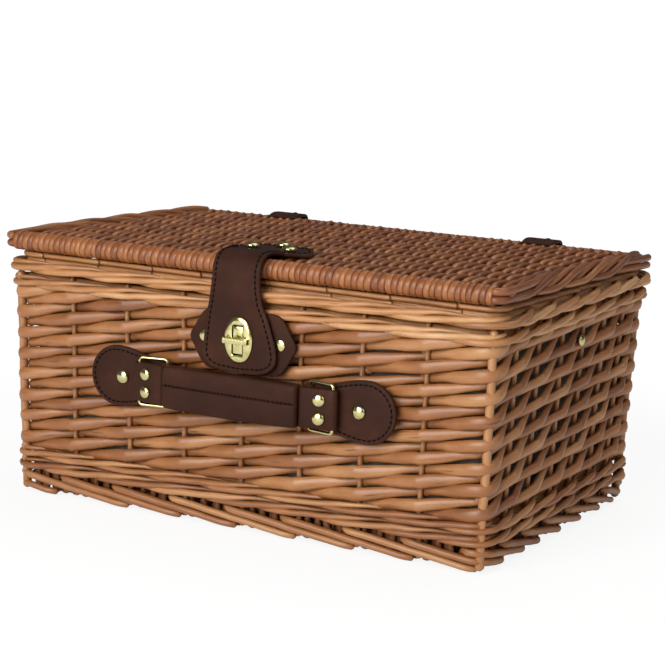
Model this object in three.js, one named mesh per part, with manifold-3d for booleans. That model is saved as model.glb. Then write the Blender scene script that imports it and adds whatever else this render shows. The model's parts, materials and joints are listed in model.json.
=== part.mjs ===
// Wicker picnic hamper: a randed willow body on a bordered foot, a wrapped-rail willow lid on leather
// hinge straps, a leather hasp strap over a brass turn lock, and a carrying handle on two brass rings.
// Millimetres. X runs left to right, Y front to back, Z up. The foot stands on Z = 0.
import * as THREE from 'three';
import { mergeVertices } from 'three/addons/utils/BufferGeometryUtils.js';
import Module from 'manifold-3d';

const wasm = await Module();
wasm.setup();

// Gaps
const clearance = 0.3; // between pieces that touch on the real hamper
const runningGap = 0.35; // round a wire that turns in leather
const knuckleGap = 0.4; // between a hinge end and the flat end it turns against

// Body: the stake line is the rectangle in which the upright stakes stand
const bodyLength = 400; // stake line, left to right, at the top of the weave
const bodyDepth = 262; // stake line, front to back, at the top of the weave
const lengthTaper = 2; // how much shorter the stake line is at the foot of the weave
const depthTaper = 11; // how much shallower it is there
const footHeight = 14.7; // plain border that the body stands on
const bottomWaleHeight = 16.5; // band of fine rods round the base
const weaveHeight = 129.4; // randed walls
const topWaleHeight = 12; // band of fine rods under the rim
const rimHeight = 12; // rolled border at the rim
const weaveRows = 16; // a rod climbs one row from each stake to the next
const frontStakes = 9; // corner stakes included
const sideStakes = 7; // between the corners
const sideStakeInset = 21; // from a corner of the stake line to the first side stake
const sideStakeDrift = 14; // how far back the hand set the middle side stakes
const stakeWidth = 8;
const rodOut = 7.5; // face of a rod that passes outside a stake, out from the stake line
const rodMid = 3.5; // face of the weave at the ends of a wall
const rodIn = 0.5; // face of a stake that a rod passes behind
const weaveInside = 5; // inner face of the walls, in from the stake line
const cornerRadius = 10; // of the stake line
const cornerGapAngle = 2.2; // degrees left open at each end of a corner

// Bands and borders
const footOut = 4.5;
const footLay = 1.3; // how far each laid rod of the foot stands out and in
const footInside = 9;
const waleRods = 4;
const waleOut = 8;
const waleGroove = 2.3;
const waleInside = 6;
const rimRods = 3;
const rimOut = 8.4;
const rimGroove = 2.2;
const rimLay = 0.7;
const rimInside = 7;
const laidRods = 32; // rods laid round each border
const laidStep = 27; // spacing of the stations that shape a border
const baseThickness = 9;
const baseSticks = 11; // cross sticks, front to back
const baseRods = 21; // weavers over and under them, left to right
const baseRelief = 3;
const liningThickness = 1.2;
const liningTopDrop = 13; // how far the lining's top edge lies under the rim

// Lid
const lidTilt = 0.92; // degrees; the front stands proud of the rim
const lidRimGap = 0.5; // between the rim and the back rail
const lidReach = 9; // how far the lid stands out past the stake line at each end
const railReach = 7.5; // and at front and back
const railRadius = 7.5; // stick with its willow wrapping
const railGroove = 0.7;
const railRibs = 27; // each rib stands for four turns of the wrapping
const lidBorderWidth = 12.7;
const lidBorderHeight = 12.4;
const lidBorderScallop = 1.2;
const lidBorderRods = 9;
const lidRods = 75; // weavers, front to back
const lidSticks = 12; // cross sticks, left to right
const lidCrest = 7.5; // weaver over a stick, above the middle of the lid
const lidValley = 1.8; // stick between two weavers
const lidUnderside = 5.5;

// Leather
const leather = 2.8;
const fittingsX = 4.5; // middle of the hasp strap and the handle
const lockX = 8.5; // middle of the turn lock
const lockDrop = 38.8; // middle of the turn lock, below the top of the rim

// Hasp strap, lock patch and turn lock
const neckWidth = 40;
const lobeWidth = 61.5; // centred on the turn lock
const haspDrop = 84.2; // from the bend at the lid's edge to the end of the lobe
const lobeRise = 15.5; // from the end of the lobe up to its widest place
const lobeRoundness = 0.72; // 0.55 is an ellipse, 1 is square
const neckLength = 22; // straight part below the bend
const haspBendRise = 1.1; // axis of the bend above the top of the front rail
const headTipWidth = 72;
const headBackWidth = 42;
const headTipReach = 46; // from the bend to the two side points
const headLength = 73; // from the bend to the back edge
const headRivetSpread = 32;
const headRivetReach = 47;
const headBackRivetReach = 65;
const headArch = 1.6; // how far the strap arches up over the rail
const headFlareStart = 0.4; // share of the way to the side points where the neck starts to widen
const trimMargin = 1; // how far a blank runs past the outline that trims it
const patchWidth = 88;
const patchHeight = 45.6;
const patchDrop = 2.1; // middle of the patch, below the lock
const patchFlat = 24; // half length of its straight upper and lower edges
const patchShoulder = 35; // where those edges would run on to
const patchElbow = 37; // where the slant towards the blunt tip would start
const patchTip = 6; // length of that blunt tip
const patchThickness = 2.5;
const patchRivetSpread = 63;
const patchRivetDrop = 1;
const plateWidth = 23.4;
const plateHeight = 34;
const plateThickness = 1.8;
const plateBevel = 0.5;
const slotWidth = 9.5;
const slotHeight = 22;
const slotMargin = 0.8; // leather slot, wider than the brass one all round
const postWidth = 8;
const postHeight = 20;
const postSink = 0.6; // end of the post, back from the face of the plate
const lockFlangeWidth = 17;
const lockFlangeHeight = 29;
const lockFlangeThickness = 1.5;
const buttonLength = 20.5;
const buttonHeight = 5;
const buttonDepth = 3.8;
const buttonRibs = 7;
const buttonRibDepth = 0.5;
const stemRadius = 2;
const stemDepth = 3.5; // length of the stem inside the post

// Handle, measured from fittingsX
const handleDrop = 79.8; // middle of the handle, below the top of the rim
const ringPivotX = 60.5; // bar of each ring that its tab holds
const ringReach = 22; // from that bar to the one that the handle's end loop holds
const ringHeight = 38; // outside
const ringWire = 2.5;
const ringCorner = 2.4;
const ringRestAngle = 11; // degrees from flat against the wall
const loopHeight = 30.4; // tab necks and end loops
const tabEndX = 129.4;
const tabWidth = 46;
const tabRoundX = 106;
const tabThickness = 3;
const tabFoldRadius = 4;
const tabRivetX = 100.5;
const endFoldRadius = 3.6;
const endKnuckleRadius = 3.2;
const endRivetReach = 9.3;
const endRivetSpread = 13.4;
const gripHeight = 32;
const gripDepth = 13;
const gripCrease = 1;
const gripRound = 3.2;
const gripEndDraw = 0.9; // how much slimmer the padding is at its two ends

// Rivets
const bigRivetRadius = 5.2;
const bigRivetHeight = 3.2;
const rivetRadius = 4.5;
const headRivetRadius = 5.6;
const rivetHeight = 2.5;
const lowRivetHeight = 1.3;
const flatRivetHeight = 0.8;
const stayRivetRadius = 3.8;

// Hinge straps at the back
const hingeInset = 82; // middle of each hinge strap, in from the end of the stake line
const hingeWidth = 30;
const hingeLeather = 2.5;
const hingeTopLength = 21; // over the back rail
const hingeDrop = 36; // down the back of the body
const hingeRivetDrop = 26;
const hingeRivetRise = 2.6; // above the middle of the lid
const hingeAxisDrop = 4.8; // below the middle of the lid
const hingeFoldGap = 0.9; // open leather below the fold, which lets the lid lean back past upright

// Lid stays: a leather strap inside each end, slack while the lid is closed
const stayGap = 0.8; // from the lining
const stayWidth = 9;
const stayThickness = 2;
const stayWallY = 10;
const stayRow = 14.25; // height of the stay's wall end, in rows of weave
const studBed = 0.9; // how far a stud draws in between two rods
const stayLidReach = 132; // from the hinge line to the lid end of the stay
const stayLoop = 52; // how far the slack hangs towards the back
const stayTurnHeight = 10; // half height of the turn in the slack
const stayTurnRise = 18; // middle of that turn, above the wall end
const stayTurnReach = 12; // length of that turn
const stayEndHalf = 5; // half length of each flat end

// Colours of the finishes, as sRGB
const finishes = {
  willow: new THREE.MeshStandardMaterial({ color: '#b97c45', roughness: 0.55, metalness: 0 }),
  lidWillow: new THREE.MeshStandardMaterial({ color: '#8f5029', roughness: 0.5, metalness: 0 }),
  leather: new THREE.MeshStandardMaterial({ color: '#3b221c', roughness: 0.5, metalness: 0 }),
  brass: new THREE.MeshStandardMaterial({ color: '#d9cd8c', roughness: 0.18, metalness: 1 }),
  lining: new THREE.MeshStandardMaterial({ color: '#6f6b66', roughness: 0.9, metalness: 0 }),
};

// Heights that follow from the sizes above
const baseZ = footHeight + clearance;
const weaveZ = baseZ + bottomWaleHeight + clearance;
const topWaleZ = weaveZ + weaveHeight + clearance;
const rimZ = topWaleZ + topWaleHeight + clearance;
const rimTopZ = rimZ + rimHeight;
const lockZ = rimTopZ - lockDrop;
const handleZ = rimTopZ - handleDrop;
const stayWallZ = weaveZ + (stayRow * weaveHeight) / weaveRows;

const radians = THREE.MathUtils.degToRad;

// Half length and half depth of the stake line at a height: the walls lean out evenly
function halfLength(z) {
  return (bodyLength - lengthTaper * (1 - (z - weaveZ) / weaveHeight)) / 2;
}

function halfDepth(z) {
  return (bodyDepth - depthTaper * (1 - (z - weaveZ) / weaveHeight)) / 2;
}

// Geometry from vertices and triangles, turned inside out if its volume comes out negative
function closedGeometry(vertices, triangles) {
  let volume = 0;
  for (const [a, b, c] of triangles) {
    volume += vertices[a].dot(new THREE.Vector3().crossVectors(vertices[b], vertices[c]));
  }
  const geometry = new THREE.BufferGeometry();
  const numbers = vertices.flatMap((v) => [v.x, v.y, v.z]);
  geometry.setAttribute('position', new THREE.Float32BufferAttribute(numbers, 3));
  geometry.setIndex(triangles.flatMap(([a, b, c]) => (volume < 0 ? [a, c, b] : [a, b, c])));
  return geometry;
}

// A slab whose outer face is a relief over columns and levels; its rim and inner face are even.
// place(column, offset, level) puts a point; relief(i, j) gives the outer offset.
function reliefPanel(columns, levels, relief, inside, place) {
  const vertices = [];
  const triangles = [];
  const across = columns.length;
  const up = levels.length;
  for (const [j, level] of levels.entries()) {
    for (const [i, column] of columns.entries()) {
      vertices.push(place(column, relief(i, j), level));
    }
  }
  const outer = (i, j) => j * across + i;
  const innerStart = vertices.length;
  for (const level of [levels[0], levels[up - 1]]) {
    for (const column of columns) {
      vertices.push(place(column, -inside, level));
    }
  }
  const inner = (i, top) => innerStart + top * across + i;
  for (let i = 0; i < across - 1; i += 1) {
    for (let j = 0; j < up - 1; j += 1) {
      if ((i + j) % 2) {
        triangles.push([outer(i, j), outer(i + 1, j), outer(i + 1, j + 1)]);
        triangles.push([outer(i, j), outer(i + 1, j + 1), outer(i, j + 1)]);
      } else {
        triangles.push([outer(i, j), outer(i + 1, j), outer(i, j + 1)]);
        triangles.push([outer(i + 1, j), outer(i + 1, j + 1), outer(i, j + 1)]);
      }
    }
    triangles.push([inner(i, 0), inner(i, 1), inner(i + 1, 1)]);
    triangles.push([inner(i, 0), inner(i + 1, 1), inner(i + 1, 0)]);
    triangles.push([outer(i, 0), inner(i, 0), inner(i + 1, 0)]);
    triangles.push([outer(i, 0), inner(i + 1, 0), outer(i + 1, 0)]);
    triangles.push([outer(i, up - 1), inner(i + 1, 1), inner(i, 1)]);
    triangles.push([outer(i, up - 1), outer(i + 1, up - 1), inner(i + 1, 1)]);
  }
  for (let j = 0; j < up - 1; j += 1) {
    triangles.push([inner(0, 0), outer(0, j), outer(0, j + 1)]);
    triangles.push([inner(across - 1, 0), outer(across - 1, j + 1), outer(across - 1, j)]);
  }
  triangles.push([inner(0, 0), outer(0, up - 1), inner(0, 1)]);
  triangles.push([inner(across - 1, 0), inner(across - 1, 1), outer(across - 1, up - 1)]);
  return closedGeometry(vertices, triangles);
}

// A skin through sections of equally many points; closed loops need no ends
function skin(sections, loop) {
  const sides = sections[0].length;
  const vertices = sections.flat();
  const triangles = [];
  const spans = loop ? sections.length : sections.length - 1;
  for (let s = 0; s < spans; s += 1) {
    const here = s * sides;
    const next = ((s + 1) % sections.length) * sides;
    for (let k = 0; k < sides; k += 1) {
      const after = (k + 1) % sides;
      triangles.push([here + k, here + after, next + after]);
      triangles.push([here + k, next + after, next + k]);
    }
  }
  if (!loop) {
    const last = (sections.length - 1) * sides;
    for (let k = 1; k < sides - 1; k += 1) {
      triangles.push([0, k + 1, k]);
      triangles.push([last, last + k, last + k + 1]);
    }
  }
  return closedGeometry(vertices, triangles);
}

// Solid for joining and cutting, made from a closed geometry
function solid(geometry) {
  const bare = geometry.clone();
  bare.deleteAttribute('normal');
  bare.deleteAttribute('uv');
  const merged = mergeVertices(bare, 1e-4);
  const mesh = new wasm.Mesh({
    numProp: 3,
    vertProperties: new Float32Array(merged.attributes.position.array),
    triVerts: new Uint32Array(merged.index.array),
  });
  return new wasm.Manifold(mesh);
}

function geometryOf(body) {
  const mesh = body.getMesh();
  const geometry = new THREE.BufferGeometry();
  geometry.setAttribute('position', new THREE.Float32BufferAttribute(mesh.vertProperties, 3));
  geometry.setIndex(Array.from(mesh.triVerts));
  return geometry;
}

function join(...geometries) {
  return geometryOf(geometries.map(solid).reduce((a, b) => a.add(b)));
}

function cut(geometry, ...tools) {
  return geometryOf(tools.map(solid).reduce((a, b) => a.subtract(b), solid(geometry)));
}

function common(a, b) {
  return geometryOf(solid(a).intersect(solid(b)));
}

// The same piece on the other side of the plane X = 0
function mirrored(geometry) {
  const flipped = geometry.clone().applyMatrix4(new THREE.Matrix4().makeScale(-1, 1, 1));
  const index = flipped.index ? Array.from(flipped.index.array) : null;
  const order = index ?? Array.from({ length: flipped.attributes.position.count }, (_, k) => k);
  for (let k = 0; k < order.length; k += 3) {
    [order[k + 1], order[k + 2]] = [order[k + 2], order[k + 1]];
  }
  flipped.setIndex(order);
  return flipped;
}

// An outline drawn in the X-Z plane, given a thickness towards the front from Y = 0
function plateFrom(shape, thickness, curveSegments, bevel = 0) {
  const geometry = new THREE.ExtrudeGeometry(shape, {
    depth: thickness - 2 * bevel,
    curveSegments,
    bevelEnabled: bevel > 0,
    bevelThickness: bevel,
    bevelSize: bevel,
    bevelOffset: -bevel,
    bevelSegments: 1,
  });
  geometry.translate(0, 0, bevel);
  geometry.rotateX(Math.PI / 2);
  return geometry;
}

// An outline drawn in the Y-Z plane, given a width along X, centred on X = 0
function strapFrom(shape, width, curveSegments) {
  const geometry = new THREE.ExtrudeGeometry(shape, { depth: width, curveSegments, bevelEnabled: false });
  geometry.translate(0, 0, -width / 2);
  geometry.rotateX(Math.PI / 2);
  geometry.rotateZ(Math.PI / 2);
  return geometry;
}

// Outline of a strap of even thickness along a line of points
function strapOutline(points, thickness) {
  const half = thickness / 2;
  const left = [];
  const right = [];
  for (const [k, point] of points.entries()) {
    const before = points[Math.max(k - 1, 0)];
    const after = points[Math.min(k + 1, points.length - 1)];
    const toward = after.clone().sub(point).normalize();
    const from = point.clone().sub(before).normalize();
    const along = toward.clone().add(from).normalize();
    const normal = new THREE.Vector2(-along.y, along.x);
    const turn = Math.max(0.5, Math.max(along.dot(toward), along.dot(from)));
    left.push(point.clone().addScaledVector(normal, half / turn));
    right.unshift(point.clone().addScaledVector(normal, -half / turn));
  }
  return new THREE.Shape([...left, ...right]);
}

function pinAlongX(radius, length, sides) {
  return new THREE.CylinderGeometry(radius, radius, length, sides).rotateZ(Math.PI / 2);
}

function pinAlongY(radius, length, sides) {
  return new THREE.CylinderGeometry(radius, radius, length, sides);
}

function blockOf(x, y, z) {
  return new THREE.BoxGeometry(x, y, z);
}

const hamper = new THREE.Group();

function piece(name, geometry, material, parent = hamper) {
  const mesh = new THREE.Mesh(geometry, material);
  mesh.name = name;
  parent.add(mesh);
  return mesh;
}

// Walls: each rod passes outside one stake and inside the next, a row higher each time, so that the
// crests stand at the same heights on every stake
const rowHeight = weaveHeight / weaveRows;
function rowMiddle(row) {
  return weaveZ + (row + 0.5) * rowHeight;
}

function rodFace(row) {
  return row % 2 ? rodOut : rodIn;
}

// Columns of a wall from end to end; turn counts the stakes, and is whole at a stake
function wallColumns(stakes, end) {
  const last = stakes.length - 1;
  const columns = [{ at: -end, turn: (-end - stakes[0]) / (stakes[1] - stakes[0]), stake: false }];
  for (const [k, stake] of stakes.entries()) {
    columns.push({ at: stake - stakeWidth / 2, turn: k, stake: true });
    columns.push({ at: stake + stakeWidth / 2, turn: k, stake: true });
  }
  const endTurn = last + (end - stakes[last]) / (stakes[last] - stakes[last - 1]);
  columns.push({ at: end, turn: endTurn, stake: false });
  return columns;
}

// The relief's grid climbs with the rods, so it starts low, ends high and is trimmed level
function wallPanel(stakes, end, place) {
  const columns = wallColumns(stakes, end);
  const rows = [];
  for (let row = -stakes.length - 1; row <= weaveRows + 1; row += 1) {
    rows.push(row);
  }
  const relief = (i, j) =>
    (columns[i].stake ? rodFace(Math.abs(rows[j] + columns[i].turn)) : rodMid);
  const leaning = (column, out, row) =>
    place(column.at / end, out, rowMiddle(row + column.turn));
  const panel = reliefPanel(columns, rows, relief, weaveInside, leaning);
  const level = blockOf(2 * bodyLength, 2 * bodyLength, weaveHeight)
    .translate(0, 0, weaveZ + weaveHeight / 2);
  return common(panel, level);
}

const wallEnd = cornerRadius + clearance / 2;
const frontPitch = bodyLength / (frontStakes - 1);
const frontStakeX = [];
for (let k = 1; k < frontStakes - 1; k += 1) {
  frontStakeX.push(-bodyLength / 2 + k * frontPitch);
}
const sideStakeY = [];
for (let k = 0; k < sideStakes; k += 1) {
  const share = k / (sideStakes - 1);
  const reach = bodyDepth / 2 - sideStakeInset;
  sideStakeY.push(-reach + 2 * reach * share + sideStakeDrift * Math.sin(Math.PI * share));
}
const frontEnd = bodyLength / 2 - wallEnd;
const sideEnd = bodyDepth / 2 - wallEnd;
// All rods climb the same way round, so each wall runs counterclockwise, seen from above
for (const [name, side] of [['front_wall', -1], ['back_wall', 1]]) {
  const place = (share, out, z) =>
    new THREE.Vector3(-side * share * (halfLength(z) - wallEnd), side * (halfDepth(z) + out), z);
  piece(name, wallPanel(frontStakeX, frontEnd, place), finishes.willow);
}
const backwards = sideStakeY.map((y) => -y).reverse();
for (const [name, side, stakes] of [['left_wall', -1, backwards], ['right_wall', 1, sideStakeY]]) {
  const place = (share, out, z) =>
    new THREE.Vector3(side * (halfLength(z) + out), side * share * (halfDepth(z) - wallEnd), z);
  piece(name, wallPanel(stakes, sideEnd, place), finishes.willow);
}

// Corners: the rods turn from the last front stake to the first side stake
const cornerTurns = 4;
const cornerEase = 0.6; // the rods bed down as they turn the corner
const cornerLevels = [weaveZ];
for (let row = 0; row < weaveRows; row += 1) {
  cornerLevels.push(rowMiddle(row));
}
cornerLevels.push(weaveZ + weaveHeight);
function cornerPost(sideX, sideY) {
  const angles = [];
  for (let k = 0; k <= cornerTurns; k += 1) {
    angles.push(radians(cornerGapAngle + ((90 - 2 * cornerGapAngle) * k) / cornerTurns));
  }
  const relief = (i, j) => {
    const edge = i === 0 || i === cornerTurns || j === 0 || j === cornerLevels.length - 1;
    return edge ? rodMid : (rodFace(j - 1) + cornerEase * rodMid) / (1 + cornerEase);
  };
  const place = (angle, out, z) => {
    const radius = cornerRadius + out;
    const x = halfLength(z) - cornerRadius + radius * Math.cos(angle);
    const y = halfDepth(z) - cornerRadius + radius * Math.sin(angle);
    return new THREE.Vector3(sideX * x, sideY * y, z);
  };
  return reliefPanel(angles, cornerLevels, relief, weaveInside, place);
}
for (const [name, sideX, sideY] of [
  ['front_left_corner', -1, -1],
  ['front_right_corner', 1, -1],
  ['back_left_corner', -1, 1],
  ['back_right_corner', 1, 1],
]) {
  piece(name, cornerPost(sideX, sideY), finishes.willow);
}

// Stations round the stake line at a height: place, outward normal and share of the way round
function stakeLoop(z, step) {
  const halfX = halfLength(z) - cornerRadius;
  const halfY = halfDepth(z) - cornerRadius;
  const stations = [];
  const corners = [[1, 1, 0], [-1, 1, 90], [-1, -1, 180], [1, -1, 270]];
  const turns = 3;
  for (const [k, [sx, sy, start]] of corners.entries()) {
    for (let t = 0; t <= turns; t += 1) {
      const angle = radians(start + (90 * t) / turns);
      const normal = new THREE.Vector2(Math.cos(angle), Math.sin(angle));
      const centre = new THREE.Vector2(sx * halfX, sy * halfY);
      stations.push({ point: centre.addScaledVector(normal, cornerRadius), normal });
    }
    const run = k % 2 ? 2 * halfY : 2 * halfX;
    const steps = Math.max(1, Math.round(run / step));
    const last = stations[stations.length - 1];
    const along = new THREE.Vector2(-last.normal.y, last.normal.x);
    for (let t = 1; t < steps; t += 1) {
      const point = last.point.clone().addScaledVector(along, (run * t) / steps);
      stations.push({ point, normal: last.normal });
    }
  }
  let length = 0;
  for (const [k, station] of stations.entries()) {
    station.run = length;
    length += station.point.distanceTo(stations[(k + 1) % stations.length].point);
  }
  for (const station of stations) {
    station.share = station.run / length;
  }
  return stations;
}

// A band round the stake line; section(wave) lists [out, up] pairs, wave going from -1 to 1 and back
// once for each laid rod
function band(z, step, section) {
  const sections = stakeLoop(z, step).map(({ point, normal, share }) => {
    const wave = Math.cos(2 * Math.PI * laidRods * share);
    return section(wave).map(([out, up]) => {
      const spot = point.clone().addScaledVector(normal, out);
      const leanX = halfLength(up) / halfLength(z);
      const leanY = halfDepth(up) / halfDepth(z);
      return new THREE.Vector3(spot.x * leanX, spot.y * leanY, up);
    });
  });
  return skin(sections, true);
}

// Outer face of stacked rods: a groove under and over each crest
function stackedRods(count, z, height, out, groove, inside) {
  const points = [[-inside, z], [out - groove, z]];
  for (let k = 0; k < count; k += 1) {
    points.push([out, z + ((k + 0.5) * height) / count]);
    points.push([out - groove, z + ((k + 1) * height) / count]);
  }
  points.push([-inside, z + height]);
  return points;
}

const noSteps = bodyLength + bodyDepth; // longer than any side, so straight runs stay whole
piece('foot_border', band(0, laidStep, (wave) => [
  [-footInside, 0],
  [footOut - 2 * footLay, 0],
  [footOut + footLay * wave, footHeight / 3],
  [footOut - footLay * wave, (2 * footHeight) / 3],
  [footOut - 2 * footLay, footHeight],
  [-footInside, footHeight],
]), finishes.willow);
piece('bottom_wale', band(baseZ, noSteps, () =>
  stackedRods(waleRods, baseZ, bottomWaleHeight, waleOut, waleGroove, waleInside)), finishes.willow);
piece('top_wale', band(topWaleZ, noSteps, () =>
  stackedRods(waleRods, topWaleZ, topWaleHeight, waleOut, waleGroove, waleInside)), finishes.willow);
piece('rim_border', band(rimZ, laidStep, (wave) => {
  const points = stackedRods(rimRods, rimZ, rimHeight, rimOut, rimGroove, rimInside);
  return points.map(([out, up], k) => [k % 2 || out < 0 ? out : out + rimLay * wave, up]);
}), finishes.willow);

// How far in from the stake line a square corner clears the rounded inner corner of the bands
const squareInset = cornerRadius - (cornerRadius - waleInside - clearance) / Math.SQRT2;

// Base: cross sticks and weavers between the walls, seen from below
const baseTopZ = baseZ + baseThickness;
const baseHalfX = halfLength(baseZ) - squareInset;
const baseHalfY = halfDepth(baseZ) - squareInset;
function evenSteps(half, count) {
  return Array.from({ length: count + 1 }, (_, k) => -half + (2 * half * k) / count);
}
function checkered(columns, levels, low, high) {
  return (i, j) => {
    const edge = i === 0 || j === 0 || i === columns - 1 || j === levels - 1;
    if (edge) {
      return (low + high) / 2;
    }
    return (i + j) % 2 ? low : high;
  };
}
piece('base_panel', reliefPanel(
  evenSteps(baseHalfX, baseSticks + 1),
  evenSteps(baseHalfY, baseRods + 1),
  checkered(baseSticks + 2, baseRods + 2, -baseRelief, 0),
  baseThickness,
  (x, out, y) => new THREE.Vector3(x, y, baseZ - out),
), finishes.willow);

// Lining: an open canvas tub that leans out with the walls
function tubRing(z, inset) {
  const x = halfLength(z) - inset;
  const y = halfDepth(z) - inset;
  return [[x, y], [-x, y], [-x, -y], [x, -y]].map(([a, b]) => new THREE.Vector3(a, b, z));
}
const liningZ = baseTopZ + clearance;
const liningTopZ = rimTopZ - liningTopDrop;
const liningInnerInset = squareInset + liningThickness;
piece('lining', skin([
  tubRing(liningZ, squareInset),
  tubRing(liningTopZ, squareInset),
  tubRing(liningTopZ, liningInnerInset),
  tubRing(liningZ + liningThickness, liningInnerInset),
], false), finishes.lining);

// Lid, drawn flat about its middle and then tilted
const railY = bodyDepth / 2 + railReach - railRadius;
const lidZ = rimTopZ + lidRimGap + railRadius + railY * Math.sin(radians(lidTilt));
const lid = new THREE.Group();
lid.position.z = lidZ;
lid.rotation.x = -radians(lidTilt);
hamper.add(lid);

// Where a point of the lid's own Y-Z plane stands on the hamper
function onLid(y, z) {
  const spot = new THREE.Vector3(0, y, z).applyEuler(lid.rotation).add(lid.position);
  return new THREE.Vector2(spot.y, spot.z);
}

const lidHalfX = bodyLength / 2 + lidReach;
const railEndX = lidHalfX - lidBorderWidth - clearance;
function wrappedRail(y) {
  const sides = 8;
  const sections = [];
  const count = 2 * railRibs;
  for (let k = 0; k <= count; k += 1) {
    const radius = k % 2 ? railRadius : railRadius - railGroove;
    const x = -railEndX + (2 * railEndX * k) / count;
    sections.push(Array.from({ length: sides }, (_, s) => {
      const angle = (2 * Math.PI * (s + 0.5)) / sides;
      return new THREE.Vector3(x, y + radius * Math.cos(angle), radius * Math.sin(angle));
    }));
  }
  return skin(sections, false);
}
piece('lid_front_rail', wrappedRail(-railY), finishes.lidWillow, lid);
piece('lid_back_rail', wrappedRail(railY), finishes.lidWillow, lid);

const lidWeaveHalfY = railY - railRadius - clearance;
piece('lid_weave', reliefPanel(
  evenSteps(railEndX, lidRods),
  evenSteps(lidWeaveHalfY, lidSticks + 1),
  checkered(lidRods + 1, lidSticks + 2, lidValley, lidCrest),
  lidUnderside,
  (x, out, y) => new THREE.Vector3(x, y, out),
), finishes.lidWillow, lid);

// Side borders of the lid: paired rods laid front to back in shallow scallops
function lidSideBorder(side) {
  const halfY = railY + railRadius;
  const middleX = lidHalfX - lidBorderWidth / 2;
  const count = 2 * lidBorderRods;
  const sections = evenSteps(halfY, count).map((y, k) => {
    const swell = k % 2 ? 0 : lidBorderScallop;
    const halfX = lidBorderWidth / 2;
    const halfZ = lidBorderHeight / 2 - swell;
    const outline = [
      [-halfX, -0.5 * halfZ], [-0.5 * halfX, -halfZ], [0.5 * halfX, -halfZ], [halfX - swell, -0.5 * halfZ],
      [halfX - swell, 0.5 * halfZ], [0.5 * halfX, halfZ], [-0.5 * halfX, halfZ], [-halfX, 0.5 * halfZ],
    ];
    return outline.map(([x, z]) => new THREE.Vector3(side * (middleX + x), y, z));
  });
  return skin(sections, false);
}
piece('lid_left_border', lidSideBorder(-1), finishes.lidWillow, lid);
piece('lid_right_border', lidSideBorder(1), finishes.lidWillow, lid);

// Domed rivet head: its flat back on Y = 0, its dome towards +Y
function domeHead(radius, height) {
  const profile = [
    new THREE.Vector2(0, 0),
    new THREE.Vector2(radius, 0),
    new THREE.Vector2(radius, 0.22 * height),
    new THREE.Vector2(0.72 * radius, 0.76 * height),
    new THREE.Vector2(0, height),
  ];
  return mergeVertices(new THREE.LatheGeometry(profile, 10), 1e-4);
}
const towards = {
  front: new THREE.Euler(0, 0, Math.PI),
  back: new THREE.Euler(0, 0, 0),
  up: new THREE.Euler(Math.PI / 2, 0, 0),
  down: new THREE.Euler(-Math.PI / 2, 0, 0),
  left: new THREE.Euler(0, 0, Math.PI / 2),
  right: new THREE.Euler(0, 0, -Math.PI / 2),
};
function rivet(name, radius, height, [x, y, z], direction, parent = hamper) {
  const mesh = piece(name, domeHead(radius, height), finishes.brass, parent);
  mesh.position.set(x, y, z);
  mesh.rotation.copy(towards[direction]);
  return mesh;
}

// Hasp: a head riveted to the lid, and a strap that swings from the bend at the lid's front edge
const rimFaceY = halfDepth(rimTopZ) + rimOut + rimLay;
const waleFaceY = halfDepth(rimZ) + waleOut;
const patchBackY = -(waleFaceY + clearance);
const patchFrontY = patchBackY - patchThickness;
const patchRivetFrontY = patchFrontY - clearance - lowRivetHeight;
const haspBackY = Math.max(rimFaceY, -patchRivetFrontY) + clearance;
const haspY = haspBackY + leather / 2; // middle of the hanging strap
const haspBend = onLid(-haspY, railRadius + haspBendRise);
const headSeatZ = lidCrest + clearance;
const headMiddleZ = headSeatZ + leather / 2;
const headFrontY = -haspY + leather / 2 + clearance;
const archY = -railY + railRadius / 2;
const headProfile = strapOutline([
  new THREE.Vector2(headFrontY, railRadius + haspBendRise),
  new THREE.Vector2(-railY - railRadius, headMiddleZ + headArch / 2),
  new THREE.Vector2(archY, headMiddleZ + headArch),
  new THREE.Vector2(archY + 2 * railRadius, headMiddleZ),
  new THREE.Vector2(-haspY + headLength + trimMargin, headMiddleZ),
], leather);
function headOutline() {
  const outline = new THREE.Shape();
  const neck = neckWidth / 2;
  const tip = headTipWidth / 2;
  const back = headBackWidth / 2;
  const start = headFrontY;
  const tipY = -haspY + headTipReach;
  const endY = -haspY + headLength;
  const flareY = -haspY + headFlareStart * headTipReach;
  outline.moveTo(-neck, start - trimMargin);
  outline.lineTo(neck, start - trimMargin);
  outline.lineTo(neck, flareY);
  outline.quadraticCurveTo(neck, (flareY + tipY) / 2, tip, tipY);
  outline.lineTo(back, endY);
  outline.lineTo(-back, endY);
  outline.lineTo(-tip, tipY);
  outline.quadraticCurveTo(-neck, (flareY + tipY) / 2, -neck, flareY);
  outline.closePath();
  return outline;
}
const headTrim = new THREE.ExtrudeGeometry(headOutline(), {
  depth: 2 * railRadius,
  curveSegments: 4,
  bevelEnabled: false,
}).translate(0, 0, headMiddleZ - railRadius);
const headBlank = strapFrom(headProfile, headTipWidth + 2 * trimMargin, 1);
const head = common(headBlank, headTrim).translate(fittingsX, 0, 0);
piece('hasp_head', head, finishes.leather, lid);
const headTopZ = headSeatZ + leather + clearance;
for (const [name, dx, reach] of [
  ['hasp_head_rivet_left', -headRivetSpread / 2, headRivetReach],
  ['hasp_head_rivet_right', headRivetSpread / 2, headRivetReach],
  ['hasp_head_rivet_back', 0, headBackRivetReach],
]) {
  rivet(name, headRivetRadius, rivetHeight, [fittingsX + dx, -haspY + reach, headTopZ], 'up', lid);
}

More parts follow.
